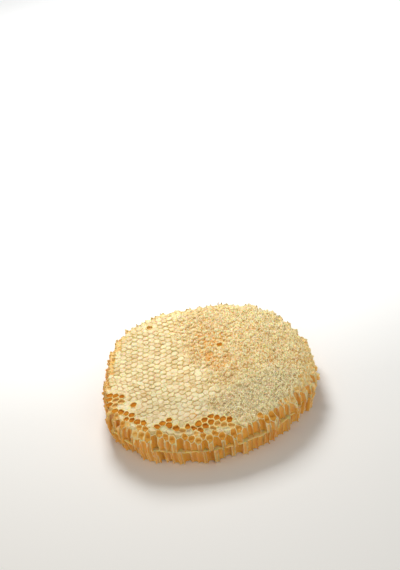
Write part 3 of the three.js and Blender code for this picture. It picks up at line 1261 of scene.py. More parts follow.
@dataclass
class OpenCells(Part):
    """Cells without a cap: a lip, the wall inside it, and the floor.

    Attributes:
        steps: the wall's rings, from its top inward.
        depth: how deep the shallowest floor lies, and the deepest.
        depth_at_left: the share of that depth at the left.
        dry_depth: how deep the floor of a cell without honey lies.
        honey_drop: how far below the rim the wall's colour turns to honey.
        dry_stain: how much less of that colour a cell without honey has, as a share.
        pale_at_back: how much paler the walls are at the back, as a share.
        pale_at_right: the same at the right.
        soak: how strongly honey shows through the walls.
        soak_at_left: the same at the left.
        rim: how strongly the rim is coloured pale, partly as a painted glow of light through the thin
            wax.
        rim_depth: how far down that pale colour is full, and where it has ended.
        roughness: how uneven the walls are.
        narrowing: how far cells stray from the even width, as a share.
        mouth: how wide the mouths are, as a share of the ovals that fit inside the cells.
        per_side: how many parts each side has.
    """

    steps: tuple[Step, ...]
    depth: Pair = (3.6, 3.6)
    depth_at_left: float = 1.0
    dry_depth: float = 1.6
    honey_drop: float = 1.0
    dry_stain: float = 0.55
    pale_at_back: float = 0.0
    pale_at_right: float = 0.0
    soak: float = 0.3
    soak_at_left: float = 0.3
    rim: float = 1.0
    rim_depth: Pair = (0.15, 0.6)
    roughness: float = 0.16
    narrowing: float = 0.05
    mouth: float = 1.04
    per_side: int = 9

    def stained(self, x: Array, y: Array) -> Array:
        """How strongly honey has stained the wax in the direction of each point."""
        back = smooth(y / np.hypot(x, y), 0.1, 0.6)
        return (1 - self.pale_at_back * back) * (1 - self.pale_at_right * self.face.strewn(x, y))

    def build(self, cells: Cells) -> Piece:
        """Makes the walls and floors of some cells as one object.

        Args:
            cells: the cells.

        Returns:
            The object.
        """
        face = self.face
        count = 6 * self.per_side
        sector = np.repeat(np.arange(6), self.per_side)
        along = np.tile(np.arange(self.per_side) / self.per_side, 6)
        middles = np.array([cell.middle for cell in cells])
        corners = corner_table(cells, lambda c: c.place)
        side = along_sides(corners, sector, along)
        level, ragged = Rims(face).heights(cells, side, sector, along)
        out = side - middles[:, None]
        level_out = np.einsum("cde,cpe->cpd", np.linalg.inv(ovals(middles, corners)), out)
        oval = self.mouth * out / np.linalg.norm(level_out, axis=-1, keepdims=True)
        left = face.runny(middles[:, :1], middles[:, 1:])
        dry = np.array([(cell.i, cell.j) in face.dry for cell in cells])[:, None]
        deepest = blend(*self.depth, chance(*numbers(cells), 65) ** 1.5)
        deepest = np.where(dry, self.dry_depth, deepest * blend(1, self.depth_at_left, left))
        narrow = 1 + self.narrowing * stray(*numbers(cells), 66)
        last = self.steps[-1].drop
        rings, looks = [], []
        for step in self.steps:
            spread = step.share if step.share == 1 else step.share * narrow[..., None]
            flat = middles[:, None] + spread * (out + (oval - out) * step.round)
            x, y = flat[..., 0], flat[..., 1]
            rough = self.roughness * Ripple(1.9, 37)(x, y) * min(1, 4 * (1 - step.share))
            down = step.drop * deepest / last
            even = smooth(step.drop, 0.5, last)
            z = blend(level + ragged, level.mean(1, keepdims=True), even) - down + rough
            rings.append(np.stack([*face.warp(x, y), z], axis=-1))
            sunk = smooth(down, 0.3 * self.honey_drop, 0.9 * self.honey_drop)
            looks.append([np.broadcast_to(value, x.shape) for value in (
                sunk * self.stained(x, y) * (1 - self.dry_stain * dry),
                0.95 - 0.8 * dry * smooth(down, 0.3, 1.0),
                self.rim * (1 - smooth(down, *self.rim_depth)),
            )])
        # The rim trait, with the high crest and lone, makes the rims pale, partly as a painted glow of
        # light through the thin wax.
        skin = Skin()
        soak = blend(self.soak, self.soak_at_left, left)
        for n in range(len(cells)):
            grid = np.stack([ring[n] for ring in rings])
            sunk, crest, rim = (np.stack([values[n] for values in kind]) for kind in zip(*looks))
            wet = float(soak[n, 0])
            skin.add_grid(grid, closed=True, sunk=sunk, crest=crest, soak=wet, lone=0.8, rim=rim)
            skin.add(
                np.vstack([grid[-1], grid[-1].mean(0)]), fan(count), sunk=float(sunk[-1, 0]),
                crest=float(crest[-1, 0]), soak=wet, lone=0.8, rim=0.0,
            )
        return skin.build(self.name)


@dataclass
class Honey(Part):
    """The honey standing in the open cells, drawn up a little at the walls.

    Attributes:
        drop: how far below the rims it stands.
        drop_stray: how much that varies.
        mouth: how wide it is, as a share of the ovals that fit inside the cells.
        per_side: how many parts it has for each side of a cell.
        profile: its rings, by their share of the way out and how far up they are drawn.
    """

    drop: float = 0.35
    drop_stray: float = 0.2
    mouth: float = 1.04
    per_side: int = 6
    profile: tuple[Pair, ...] = (
        (0.99, 0.16), (0.92, 0.16), (0.86, 0.10), (0.76, 0.04), (0.50, 0.0), (0.25, -0.01),
    )

    def build(self, cells: Cells) -> Piece:
        """Makes the honey of some cells as one object.

        Args:
            cells: the cells.

        Returns:
            The object.
        """
        form = self.face.form
        skin = Skin()
        count = 6 * self.per_side
        angle = TAU * np.arange(count) / count
        circle = np.stack([np.cos(angle), np.sin(angle)], axis=-1) * self.mouth
        middles = np.array([cell.middle for cell in cells])
        shapes = ovals(middles, corner_table(cells, lambda c: c.place))
        for cell, shape in zip(cells, shapes):
            oval = circle @ shape
            level = float(form.groove(*cell.middle)) + form.open_rim_rise
            level -= self.drop + self.drop_stray * float(stray(cell.i, cell.j, 67))
            rings = []
            for share, up in self.profile:
                x, y = self.face.warp(*(cell.middle + share * oval).T)
                rings.append(np.stack([x, y, level + up + 0.03 * Ripple(2, 38)(x, y)], axis=-1))
            skin.add_grid(np.stack(rings), closed=True)
            skin.add(np.vstack([rings[-1], rings[-1].mean(0)]), fan(count))
        return skin.build(self.name)


@dataclass
class Flank(Part):
    """The side of one layer: shallow flutes, one for each cell cut by the edge.

    Attributes:
        per_side: how many parts each cell's side has.
        rows: how many parts it has from top to foot.
        flare: how much of a broken wall's reach the flank itself follows.
        point: how pointed the ridges are that it makes there.
        hollow: how deep each side is hollowed out.
        ripples: how high its broad and its fine ripples are.
        ledge: how far inward it runs on where the two layers meet.
        overlap: how far the upper flank runs down past the middle of the midrib.
        foot: how high the lower one ends.
        wet: how strongly honey shows through it at the left.
    """

    per_side: int
    rows: int
    flare: float = 0.42
    point: float = 1.7
    hollow: float = 1.05
    ripples: Pair = (0.30, 0.13)
    ledge: float = 6.0
    overlap: float = 0.1
    foot: float = 0.45
    wet: float = 1.1

    def build(self, layer: Layer) -> Piece:
        """Makes the flank of a layer as one object.

        Args:
            layer: the layer.

        Returns:
            The object.
        """
        face, form, loop = self.face, self.face.form, layer.loop
        upper = layer.side is Side.UPPER
        share = np.tile(np.arange(self.per_side) / self.per_side, len(loop))
        along = share[:, None]
        which = np.repeat(np.arange(len(loop)), self.per_side)
        after = np.roll(np.arange(len(loop)), -1)
        place = np.array([corner.place for corner in loop])
        push = np.array([corner.tip * corner.outward for corner in loop])
        torn = np.array([float(corner.broken) for corner in loop])
        rim = np.array([float(corner.open) for corner in loop])
        tips = np.array([float(corner.tip > 0) for corner in loop])
        tangent = (place[after] - place)[which]
        straight = place[which] + tangent * along
        flare = push[which] * (1 - along) ** self.point + push[after][which] * along**self.point
        outward = np.stack([tangent[:, 1], -tangent[:, 0]], axis=-1)
        outward /= np.linalg.norm(outward, axis=-1, keepdims=True)
        hollow = outward * np.sin(math.pi * along) * self.hollow
        x, y = straight.T
        lift = rim[which] * (1 - share) + rim[after][which] * share
        weight = torn[which] * (1 - share) + torn[after][which] * share
        top = form.groove(x, y) + face.rim_rise * lift + weight * face.ragged(x, y)
        broad, fine = self.ripples
        grid, stain = [], []
        for row in range(self.rows + 1):
            down = row / self.rows
            if upper:
                z = blend(top, form.midrib_height - self.overlap, down)
                full, taper = smooth(down, 0.02, 0.18), np.ones_like(z)
                moved = np.column_stack(face.warp(x, y)) - straight
                stain.append(smooth(top - z, 0.0, 2.0))
            else:
                z = np.full_like(x, blend(form.midrib_height, self.foot, down))
                full, taper = 1 - smooth(down, 0.9, 1), form.taper(z)
                moved = np.zeros_like(straight)
                stain.append(np.ones_like(x))
            ripple = broad * Ripple(4.2, 81)(x + 0.35 * z, y - 0.3 * z)
            ripple = ripple + fine * Ripple(1.7, 82)(x + 0.8 * z, y - 0.7 * z)
            shift = (flare * self.flare - hollow + outward * ripple[:, None]) * full
            flat = (straight + shift) * taper[..., None] + moved
            grid.append(np.column_stack([flat, z]))
        seam = -1 if upper else 0
        inner = grid[seam].copy()
        inner[:, :2] *= 1 - self.ledge / np.linalg.norm(inner[:, :2], axis=1, keepdims=True)
        grid.insert(len(grid) if upper else 0, inner)
        stain.insert(len(stain) if upper else 0, stain[seam])
        ridge = np.clip(tips[which] * (1 - share) ** 3 + tips[after][which] * share**3, 0, 1)
        skin = Skin()
        skin.add_grid(
            np.stack(grid)[::-1], closed=True, sunk=np.stack(stain)[::-1], tip=ridge[None, :],
            wet=1 - ridge[None, :], soak=self.wet * face.runny(x, y)[None, :], crest=0.9, lone=0.9,
        )
        return skin.build(self.name)


@dataclass
class BrokenWalls(Part):
    """The stumps of torn walls, thin ragged plates that stand out from the flank.

    Attributes:
        root_thickness: how thick a stump is where it leaves the flank.
        tip_thickness: how thick it is at its tip.
        rows: how many parts it has from top to foot.
        profile: one side of it, by the share of its reach and half its width there.
        reach: the least and greatest share of its reach that its ragged edge keeps.
        sway: how far it bends aside.
        fall: how much lower its tip lies than its root, at least and at most.
    """

    root_thickness: float = 0.5
    tip_thickness: float = 0.16
    rows: int = 26
    profile: tuple[Pair, ...] = (
        (-0.45, 0.5), (0.3, 0.42), (0.75, 0.3), (1.0, 0.12), (1.03, 0.0),
    )
    reach: Pair = (0.2, 1.12)
    sway: float = 0.34
    fall: Pair = (0.6, 2.0)

    def build(self, layer: Layer) -> Piece:
        """Makes the stumps of a layer as one object.

        Args:
            layer: the layer.

        Returns:
            The object.
        """
        skin = Skin()
        for n, corner in enumerate(layer.loop):
            if corner.tip:
                self._add(skin, n, corner, layer)
        return skin.build(self.name)

    def _add(self, skin: Skin, n: int, corner: Corner, layer: Layer) -> None:
        """Adds one stump to the skin.

        Args:
            skin: the skin.
            n: the number of the corner, which picks how the stump is torn.
            corner: where it stands.
            layer: the layer that it belongs to.
        """
        form = self.face.form
        upper = layer.side is Side.UPPER
        groove = float(form.groove(*corner.place))
        if upper:
            top, foot = groove + 0.5 + 1.1 * float(stray(n, 1, 83)), form.midrib_height - 0.2
        else:
            top, foot = form.midrib_height - 0.3, 0.3
        z = np.linspace(top, foot, self.rows + 1)
        wave = Ripple(3.1, 84)(z + 7.3 * n, z * 0 + n)
        fine = Ripple(1.1, 85)(z + 5.1 * n, z * 0 + 2 * n)
        bite = smooth(Ripple(5.5, 86)(z, z * 0 + 3.3 * n), 0.1, 0.6)
        reach = corner.tip * np.clip(0.88 + 0.28 * wave + 0.16 * fine - 0.5 * bite, *self.reach)
        sway = self.sway * Ripple(3.6, 87)(z, z * 0 + 1.7 * n) + 0.12 * fine
        side = np.array([-corner.outward[1], corner.outward[0]])
        columns = [*self.profile, *((share, -half) for share, half in self.profile[-2::-1])]
        outer = np.array([max(share, 0) for share, _ in columns])
        sheet = []
        for share, half in columns:
            thick = blend(self.root_thickness, self.tip_thickness, max(share, 0))
            flat = corner.place[None] + corner.outward * (share * reach)[:, None]
            flat = flat + side * (half * thick + sway * max(share, 0))[:, None]
            sheet.append(np.column_stack([flat * form.taper(z)[:, None], z]))
        grid = np.stack(sheet, axis=1)
        if upper:
            fall = blend(*self.fall, float(chance(n, 2, 88))) * outer
            grid[..., 2] -= fall * smooth(z, top - 3, top)[:, None]
        down = smooth(groove - z, -0.2, 7.0) if upper else np.ones_like(z)
        looks = {"crest": 0.95, "lone": 0.9, "soak": float(self.face.runny(*corner.place))}
        skin.add_grid(grid, sunk=down[:, None], tip=outer[None, :] ** 3, **looks)
        end = len(columns) - 1
        lid = np.array([[k, k + 1, end - 1 - k, end - k] for k in range(len(columns) // 2 - 1)])
        skin.add(grid[0], lid[:, ::-1], sunk=float(down[0]), tip=outer**3, **looks)


@dataclass
class MidribEdge(Part):
    """The thin sheet between the two layers, where it shows round the side.

    Attributes:
        columns: how many parts it has all round.
        past_cells: how far it reaches past the last cells.
        thickness: how thick it is.
        profile: its edge from above to below, by how far inward and how far up each point
            lies, the second as a share of the thickness.
    """

    columns: int = 720
    past_cells: float = 2.0
    thickness: float = 0.75
    profile: tuple[Pair, ...] = (
        (14.0, 0.3), (5.0, 0.5), (1.0, 0.45), (0.25, 0.3), (0.0, 0.0), (0.25, -0.3),
        (1.0, -0.45), (5.0, -0.5), (14.0, -0.3),
    )

    def build(self) -> Piece:
        """Makes the sheet's rim as one object.

        Returns:
            The object.
        """
        form = self.face.form
        angle = TAU * np.arange(self.columns) / self.columns
        ux, uy = np.cos(angle), np.sin(angle)
        even = form.radius(ux, uy) + form.torn_reach(ux, uy) + self.past_cells
        x, y = even * ux, even * uy
        radius = even + 0.7 * Ripple(5, 91)(x, y) + 0.35 * Ripple(1.8, 92)(x, y) - 0.9
        sway = 0.30 * Ripple(6, 93)(x, y) + 0.16 * Ripple(2.2, 94)(x, y)
        rows = []
        for inward, up in self.profile:
            r = radius - inward
            z = form.midrib_height + sway * smooth(5 - inward, 0, 4) + up * self.thickness
            rows.append(np.stack([r * ux, r * uy, z], axis=-1))
        skin = Skin()
        skin.add_grid(np.stack(rows[::-1]), closed=True, sunk=0.5, crest=0.9, tip=0.5, lone=0.9)
        return skin.build(self.name)


@dataclass
class Underside(Part):
    """The caps of the lower layer, pressed flat where the comb rests.

    Attributes:
        patch: how finely each cap is made.
        groove_height: how high the grooves between them lie.
        pressed: where the pressed part of a cap ends and the groove begins, as shares of the
            way out.
        dent: how deep their dents are.
    """

    patch: HexPatch
    groove_height: float = 0.45
    pressed: Pair = (0.62, 1.0)
    dent: float = 0.05

    def build(self, layer: Layer) -> Piece:
        """Makes the underside as one object.

        Args:
            layer: the lower layer.

        Returns:
            The object.
        """
        cells = list(layer.cells.values())
        laid = self.patch.lay(cells)
        x, y = laid.x, laid.y
        out = roundness(laid.flat, laid.middles, laid.corners)
        pressed = 1 - smooth(out, *self.pressed)
        dent = self.dent * np.abs(Ripple(2.1, 95)(x, y)) * (1 - laid.share**4)
        z = self.groove_height * (1 - pressed) + dent
        taper = self.face.form.lower_taper
        points = np.stack([x * taper, y * taper, z], axis=-1)
        # Painted shade: crest is low in the grooves between the pressed caps, so they take the darker
        # groove colour.
        skin = Skin()
        skin.add(
            points.reshape(-1, 3), laid.faces[:, ::-1], crest=pressed.ravel(),
            lone=laid.spread(chance(*numbers(cells), 96)),
        )
        return skin.build(self.name)


@dataclass(frozen=True)
class Strip:
    """One loose strip of wax.

    Attributes:
        x, y: where its middle is.
        length: how long it is.
        width: how wide it is.
        angle: the direction in which it lies, in degrees.
        bow: how far it bends sideways, as a share of its length.
        curl: how far its ends turn up.
    """

    x: float
    y: float
    length: float
    width: float
    angle: float
    bow: float
    curl: float


@dataclass
class Shreds(Part):
    """Loose curled strips and flakes of wax lying on the crinkled caps.

    Attributes:
        count: how many strips lie scattered.
        tries: how many places are looked at, at most.
        spread: how far from the comb's middle they may lie, along X and along Y.
        clear: how far they keep from the middle of an open cell.
        lengths: the least and greatest length of a scattered strip.
        widths: the same of its width.
        angles: the same of its direction, in degrees.
        bow: how far it bends either way, as a share of its length.
        curls: the least and greatest height of its ends.
        lift: how high it lies over the grooves.
        cross: its section, by how far across and how far up each point lies, the first as a
            share of its width.
        highest: the greatest height of its middle line.
        flakes: the broad pale ones.
    """

    count: int = 1700
    tries: int = 24000
    spread: Pair = (92.0, 88.0)
    clear: float = 5.0
    lengths: Pair = (1.2, 4.8)
    widths: Pair = (0.3, 0.8)
    angles: Pair = (50.0, 130.0)
    bow: float = 0.25
    curls: Pair = (-0.5, 0.7)
    lift: float = 1.05
    cross: tuple[Pair, ...] = ((-0.5, 0.05), (0.0, 0.22), (0.5, 0.05), (0.0, -0.12))
    highest: float = 34.8
    flakes: tuple[Strip, ...] = (
        Strip(19.2, -57.2, 3.4, 1.9, 150, 0.1, 0.4), Strip(21.4, -59.2, 2.4, 0.8, 130, 0.2, 0.3),
        Strip(29.4, -66.6, 2.6, 2.2, 165, -0.1, 0.3), Strip(9.0, -46.4, 2.4, 1.7, 20, 0.1, 0.2),
        Strip(32.0, -38.0, 2.4, 1.3, 160, 0.1, 0.3), Strip(-20.6, 39.5, 2.4, 1.6, 20, 0.1, 0.3),
    )

    def build(self, open_cells: Cells) -> Piece:
        """Makes the strips as one object.

        Args:
            open_cells: the cells that they keep clear of.

        Returns:
            The object.
        """
        mouths = np.array([cell.middle for cell in open_cells])
        skin = Skin()
        for flake in self.flakes:
            self._add(skin, flake)
        made = tried = 0
        while made < self.count and tried < self.tries:
            tried += 1
            pick = [float(chance(tried, 0, 101 + k)) for k in range(8)]
            x, y = (reach * (2 * draw - 1) for reach, draw in zip(self.spread, pick))
            if self._free(x, y, pick[2], mouths):
                self._add(skin, Strip(
                    x, y, length=blend(*self.lengths, pick[3] ** 2),
                    width=blend(*self.widths, pick[4]), angle=blend(*self.angles, pick[5]),
                    bow=blend(-self.bow, self.bow, pick[6]), curl=blend(*self.curls, pick[7])))
                made += 1
        return skin.build(self.name)

    def _free(self, x: float, y: float, draw: float, mouths: Array) -> bool:
        """May a strip lie here?

        Args:
            x, y: its middle.
            draw: the number from 0 to 1 that decides it where few lie.
            mouths: the middles of the open cells.

        Returns:
            Whether it may.
        """
        face, form = self.face, self.face.form
        right = float(smooth(x, 0, 60))
        wanted = float(face.crinkled(x, y)) * (0.25 + 0.7 * right)
        if draw > wanted or np.hypot(*(mouths - (x, y)).T).min() < self.clear:
            return False
        reach = float(form.torn_reach(x, y)) - 2.5 + 1.5 * float(face.strewn(x, y))
        return float(form.past(x, y)) <= blend(-3, reach, right)

    def _add(self, skin: Skin, strip: Strip) -> None:
        """Adds one strip to the skin.

        Args:
            skin: the skin.
            strip: the strip.
        """
        face, form = self.face, self.face.form
        angle = math.radians(strip.angle)
        forward = np.array([math.cos(angle), math.sin(angle)])
        side = np.array([-forward[1], forward[0]])
        t = np.linspace(-0.5, 0.5, 9)[:, None]
        bow = strip.bow * strip.length * (4 * t**2 - 0.5)
        middle = np.array([strip.x, strip.y]) + forward * t * strip.length + side * bow
        width = strip.width * np.sqrt(np.clip(1 - (2 * t) ** 4, 0.04, 1))
        x, y = middle.T
        low = 0.6 * smooth(form.past(x, y), -1.5, 2)
        high = 0.7 * face.crinkled(x, y)
        lift = self.lift + high - low + strip.curl * (2 * t[:, 0]) ** 2 + 0.35 * t[:, 0]
        height = np.minimum(form.groove(x, y) + lift, self.highest)
        ring = [np.column_stack([middle + side * across * width, height + up])
                for across, up in self.cross]
        skin.add_grid(np.stack(ring, axis=1)[::-1], closed=True, crest=1.0, lone=1.0)


# ---- materials ----


class Mixing(Enum):
    """The ways in which two colours are mixed."""

    PLAIN = "MIX"
    PRODUCT = "MULTIPLY"


@dataclass
class Varying:
    """Something that varies over a surface.

    Attributes:
        graph: the nodes that it belongs to.
        socket: the socket that gives it.
    """

    graph: Graph
    socket: bpy.types.NodeSocket


class Wire(Varying):
    """A number that varies. Python's operators add the nodes that work on it."""

    def __add__(self, other: Wire | float) -> Wire:
        """The sum."""
        return self.graph.maths("ADD", self, other)

    __radd__ = __add__

    def __sub__(self, other: Wire | float) -> Wire:
        """The difference."""
        return self.graph.maths("SUBTRACT", self, other)

    def __rsub__(self, other: float) -> Wire:
        """The difference, with the number first."""
        return self.graph.maths("SUBTRACT", other, self)

    def __mul__(self, other: Wire | float) -> Wire:
        """The product."""
        return self.graph.maths("MULTIPLY", self, other)

    __rmul__ = __mul__

    def clamped(self) -> Wire:
        """The same, kept from 0 to 1."""
        return self.graph.maths("MAXIMUM", self.graph.maths("MINIMUM", self, 1.0), 0.0)

    def over(self, low: float, high: float) -> Wire:
        """A soft step: 0 below low and 1 above high, with an even curve between them.

        Args:
            low: where the step begins.
            high: where it ends.

        Returns:
            The step's height.
        """
        settings = {"interpolation_type": "SMOOTHSTEP"}
        values = {"Value": self, "From Min": low, "From Max": high}
        return Wire(self.graph, self.graph.node("ShaderNodeMapRange", settings, values).outputs[0])


class Tint(Varying):
    """A colour that varies."""

    def toward(self, other: Tint | Colour, share: Wire | float) -> Tint:
        """The colour so far on the way to the other."""
        return self.graph.mix(Mixing.PLAIN, self, other, share)

    def times(self, other: Tint | Colour, share: Wire | float = 1.0) -> Tint:
        """The product of the two colours."""
        return self.graph.mix(Mixing.PRODUCT, self, other, share)


class Arrow(Varying):
    """A vector that varies."""


class Graph:
    """The nodes of one material.

    Attributes:
        material: the material.
        tree: its nodes and links.
    """

    def __init__(self, name: str) -> None:
        """Makes an empty material.

        Args:
            name: the material's name.
        """
        self.material = bpy.data.materials.new(name)
        self.material.use_nodes = True
        self.tree = self.material.node_tree
        self.tree.nodes.clear()

    def node(
        self, kind: str, settings: dict | None = None, values: dict | None = None
    ) -> bpy.types.Node:
        """Adds a node.

        Args:
            kind: its type.
            settings: its properties, set first.
            values: a number, colour, wire, tint or arrow for each input, by name or number.

        Returns:
            The node.
        """
        made = self.tree.nodes.new(kind)
        for key, value in (settings or {}).items():
            setattr(made, key, value)
        for key, value in (values or {}).items():
            if isinstance(key, int):
                socket = made.inputs[key]
            else:
                socket = next(s for s in made.inputs if s.enabled and s.name == key)
            if isinstance(value, Varying):
                self.tree.links.new(value.socket, socket)
            elif socket.type == "RGBA" and len(value) == 3:
                socket.default_value = (*value, 1.0)
            else:
                socket.default_value = value
        return made

    def maths(self, operation: str, *values: Wire | float) -> Wire:
        """One step of arithmetic."""
        made = self.node("ShaderNodeMath", {"operation": operation}, dict(enumerate(values)))
        return Wire(self, made.outputs[0])

    def mix(
        self, way: Mixing, first: Tint | Colour, second: Tint | Colour, share: Wire | float
    ) -> Tint:
        """Mixes two colours.

        Args:
            way: how they are mixed.
            first: the colour that stays at a share of 0.
            second: the one that it turns into, or is multiplied by, at 1.
            share: how far it goes that way.

        Returns:
            The mixed colour.
        """
        settings = {"data_type": "RGBA", "blend_type": way.value}
        made = self.node("ShaderNodeMix", settings, {"Factor": share, "A": first, "B": second})
        return Tint(self, next(s for s in made.outputs if s.enabled))

    def trait(self, name: str) -> Wire:
        """A value that the mesh carries at its points, or 0 where it carries none."""
        made = self.node("ShaderNodeAttribute", {"attribute_name": name})
        return Wire(self, made.outputs["Fac"])

    def place(self) -> Arrow:
        """The point on the object, in metres."""
        return Arrow(self, self.node("ShaderNodeTexCoord").outputs["Object"])

    def grain(self, size: float, detail: float = 2.0) -> Wire:
        """Noise from 0 to 1, with grains of this size in millimetres."""
        values = {"Vector": self.place(), "Scale": 1 / (size * MM), "Detail": detail}
        return Wire(self, self.node("ShaderNodeTexNoise", None, values).outputs["Fac"])

    def bump(self, height: Wire, strength: float, distance: float) -> Arrow:
        """The slopes of a fine relief, with its depth in millimetres."""
        values = {"Height": height, "Strength": strength, "Distance": distance * MM}
        return Arrow(self, self.node("ShaderNodeBump", None, values).outputs["Normal"])

    def finish(self, values: dict) -> bpy.types.Material:
        """Ends the nodes in one shader.

        Args:
            values: a number, colour, wire, tint or arrow for each of its inputs, by name.

        Returns:
            The material.
        """
        shader = self.node("ShaderNodeBsdfPrincipled", None, values)
        output = self.node("ShaderNodeOutputMaterial")
        self.tree.links.new(shader.outputs["BSDF"], output.inputs["Surface"])
        return self.material


WAX_IOR = 1.44
HONEY_IOR = 1.49


@dataclass(frozen=True)
class WaxFinish:
    """Beeswax: pale and dry on the caps, with painted highlights on their crests and painted shade in
    the grooves, and honey-stained in grooves and inside the cells.

    Attributes:
        name: the material's name.
        cap: the top of a cap.
        cap_warm: the same where it is warmer.
        white: the palest wax, also used as a painted highlight on crests.
        groove: between the caps, darker as painted shade.
        groove_warm: the same painted shade where the caps are warmer.
        gap: between the lumps of crinkled caps and on their low sides, darker and warmer as painted
            shade.
        honeyed: a cap with honey close under it.
        dull: the low parts of worn wax, darker partly as painted shade.
        ash: its high parts.
        shade: what the darker caps are dimmed by.
        painted_shade: what the wax is dimmed by where shade is painted on it.
        blush: the pinkish blotches.
        rim: the rim of an open cell, pale wax made brighter as a painted glow of light through it.
        inner: a cell's wall below its mouth.
        side: the flank.
        roughness: how matt the dry wax is.
        shine: how strongly its surface reflects.
        glow: how much of the light spreads inside the wax.
        spread: and how far, in millimetres.
        spread_by_colour: how far red, green and blue light spread, as shares of that.
    """

    name: str = "beeswax"
    cap: Colour = (0.80, 0.66, 0.30)
    cap_warm: Colour = (0.84, 0.64, 0.30)
    white: Colour = (0.93, 0.83, 0.50)
    # groove, groove_warm and gap are painted shade: darker colours for wax that lies low
    groove: Colour = (0.66, 0.47, 0.19)
    groove_warm: Colour = (0.66, 0.40, 0.16)
    gap: Colour = (0.69, 0.47, 0.18)
    honeyed: Colour = (0.78, 0.42, 0.08)
    dull: Colour = (0.58, 0.49, 0.28)
    ash: Colour = (0.90, 0.83, 0.54)
    shade: Colour = (0.90, 0.80, 0.72)
    painted_shade: Colour = (0.84, 0.85, 0.86)
    blush: Colour = (0.80, 0.56, 0.33)
    rim: Colour = (1.0, 0.82, 0.37)
    inner: Colour = (0.74, 0.34, 0.04)
    side: Colour = (0.84, 0.50, 0.11)
    roughness: float = 0.5
    shine: float = 0.5
    glow: float = 0.55
    spread: float = 2.0
    spread_by_colour: Colour = (1.0, 0.55, 0.22)

    def material(self) -> bpy.types.Material:
        """Makes the material.

        Returns:
            The material, for meshes that carry some or all of the traits that it asks for.
        """
        g = Graph(self.name)
        crest, soak, dull, crinkled = (g.trait(name) for name in ("crest", "soak", "dull", "crinkled"))
        sunk, lone, tip, wet = (g.trait(name) for name in ("sunk", "lone", "tip", "wet"))
        grain, mottle, cloud = g.grain(0.8, 3), g.grain(3.5, 2), g.grain(16, 2)
        speck = g.grain(1.1, 1).over(0.36, 0.64)
        # painted shade: grooves and the gaps between crinkled lumps take a darker colour where crest is
        # low, caps a paler one where it is high; both warmer in clouds
        top = (crest + (0.4 + 0.5 * crinkled) * (grain - 0.5)).over(0.08, 0.6)
        warm = (cloud * 1.2 + mottle + lone * 0.9 - 1.05).over(0.2, 0.8)
        furrow_shade = g.mix(Mixing.PLAIN, self.groove, self.groove_warm, warm)
        furrow_shade = furrow_shade.toward(self.gap, crinkled * 0.8)
        base = furrow_shade.toward(g.mix(Mixing.PLAIN, self.cap, self.cap_warm, warm), top)
        # painted highlights: crests and the tops of crinkled caps are paled toward white; some caps are
        # paler or darker at random
        scaly = 0.4 * crinkled * (speck - 0.3)
        bright = (crest * 0.8 + lone * 0.3 + mottle - 0.9 + scaly).over(0.1, 0.7)
        base = base.toward(self.white, bright * 0.8).toward(self.white, crinkled * top * 0.35)
        base = base.times(self.shade, 1 - (lone * 1.6 + mottle * 0.8 - 0.4).clamped())
        # worn places, greyed partly as painted shade with their low parts painted darker; painted shade
        # spots; pinkish places
        ash = g.mix(Mixing.PLAIN, self.dull, self.ash, (speck * 0.7 + crest * 0.6 - 0.35).clamped())
        base = base.toward(ash, (dull * (0.9 + 0.6 * (mottle - 0.5))).clamped() * 0.9)
        base = base.times(self.painted_shade, g.trait("age"))
        base = base.toward(self.blush, g.grain(6.5, 2).over(0.50, 0.72) * 0.3)
        # honey under the caps, and down the walls
        base = base.toward(self.honeyed, (soak * (1.15 - 0.5 * crest)).clamped())
        depth = (sunk + 0.35 * (mottle - 0.5)).over(0.15, 0.75)
        deeper = (sunk * 0.8 + cloud - 0.6).over(0.1, 0.9)
        stain = g.mix(Mixing.PLAIN, self.side, self.inner, deeper)
        base = base.toward(stain, depth * (1 - 0.75 * tip))
        # pale rims of open cells, partly a painted glow of light through the thin wax
        base = base.toward(self.rim, g.trait("rim"))
        return g.finish({
            "Base Color": base,
            "Roughness": self.roughness - 0.2 * wet,
            "Specular IOR Level": self.shine,
            "Coat Weight": (soak * 0.1 + wet * depth * 0.6).clamped(),
            "Coat Roughness": 0.2,
            "Normal": g.bump(grain * 0.7 + mottle * 0.3, 0.35, 0.25),
            "Subsurface Weight": self.glow,
            "Subsurface Radius": self.spread_by_colour,
            "Subsurface Scale": self.spread * MM,
            "IOR": WAX_IOR,
        })


THIN_WAX = WaxFinish("thin beeswax", shine=0.2, glow=0.35, spread=0.6)
FLANK_WAX = WaxFinish("flank beeswax", shine=0.2, glow=0.85, spread=3.2)
LOOSE_WAX = WaxFinish(
    "loose beeswax", cap=(0.96, 0.85, 0.50), cap_warm=(0.97, 0.84, 0.48), white=(1.0, 0.93, 0.60),
    glow=0.1, spread=0.6,
)


@dataclass(frozen=True)
class HoneyFinish:
    """Honey: amber in clouds, without a sharp gleam.

    Attributes:
        name: the material's name.
        thin: where it is paler.
        deep: where it is darker.
        roughness: how soft its gleam is.
        shine: how strongly its surface reflects.
        glow: how much of the light spreads inside it.
        spread: and how far, in millimetres.
        spread_by_colour: how far red, green and blue light spread, as shares of that.
    """

    name: str = "honey"
    thin: Colour = (0.62, 0.25, 0.028)
    deep: Colour = (0.49, 0.15, 0.014)
    roughness: float = 0.25
    shine: float = 0.0
    glow: float = 0.15
    spread: float = 2.0
    spread_by_colour: Colour = (1.0, 0.4, 0.08)

    def material(self) -> bpy.types.Material:
        """Makes the material.

        Returns:
            The material.
        """
        g = Graph(self.name)
        cloud = g.grain(4.5, 1).over(0.3, 0.7)
        return g.finish({
            "Base Color": g.mix(Mixing.PLAIN, self.deep, self.thin, cloud),
            "Roughness": self.roughness,
            "IOR": HONEY_IOR,
            "Specular IOR Level": self.shine,
            "Subsurface Weight": self.glow,
            "Subsurface Radius": self.spread_by_colour,
            "Subsurface Scale": self.spread * MM,
        })


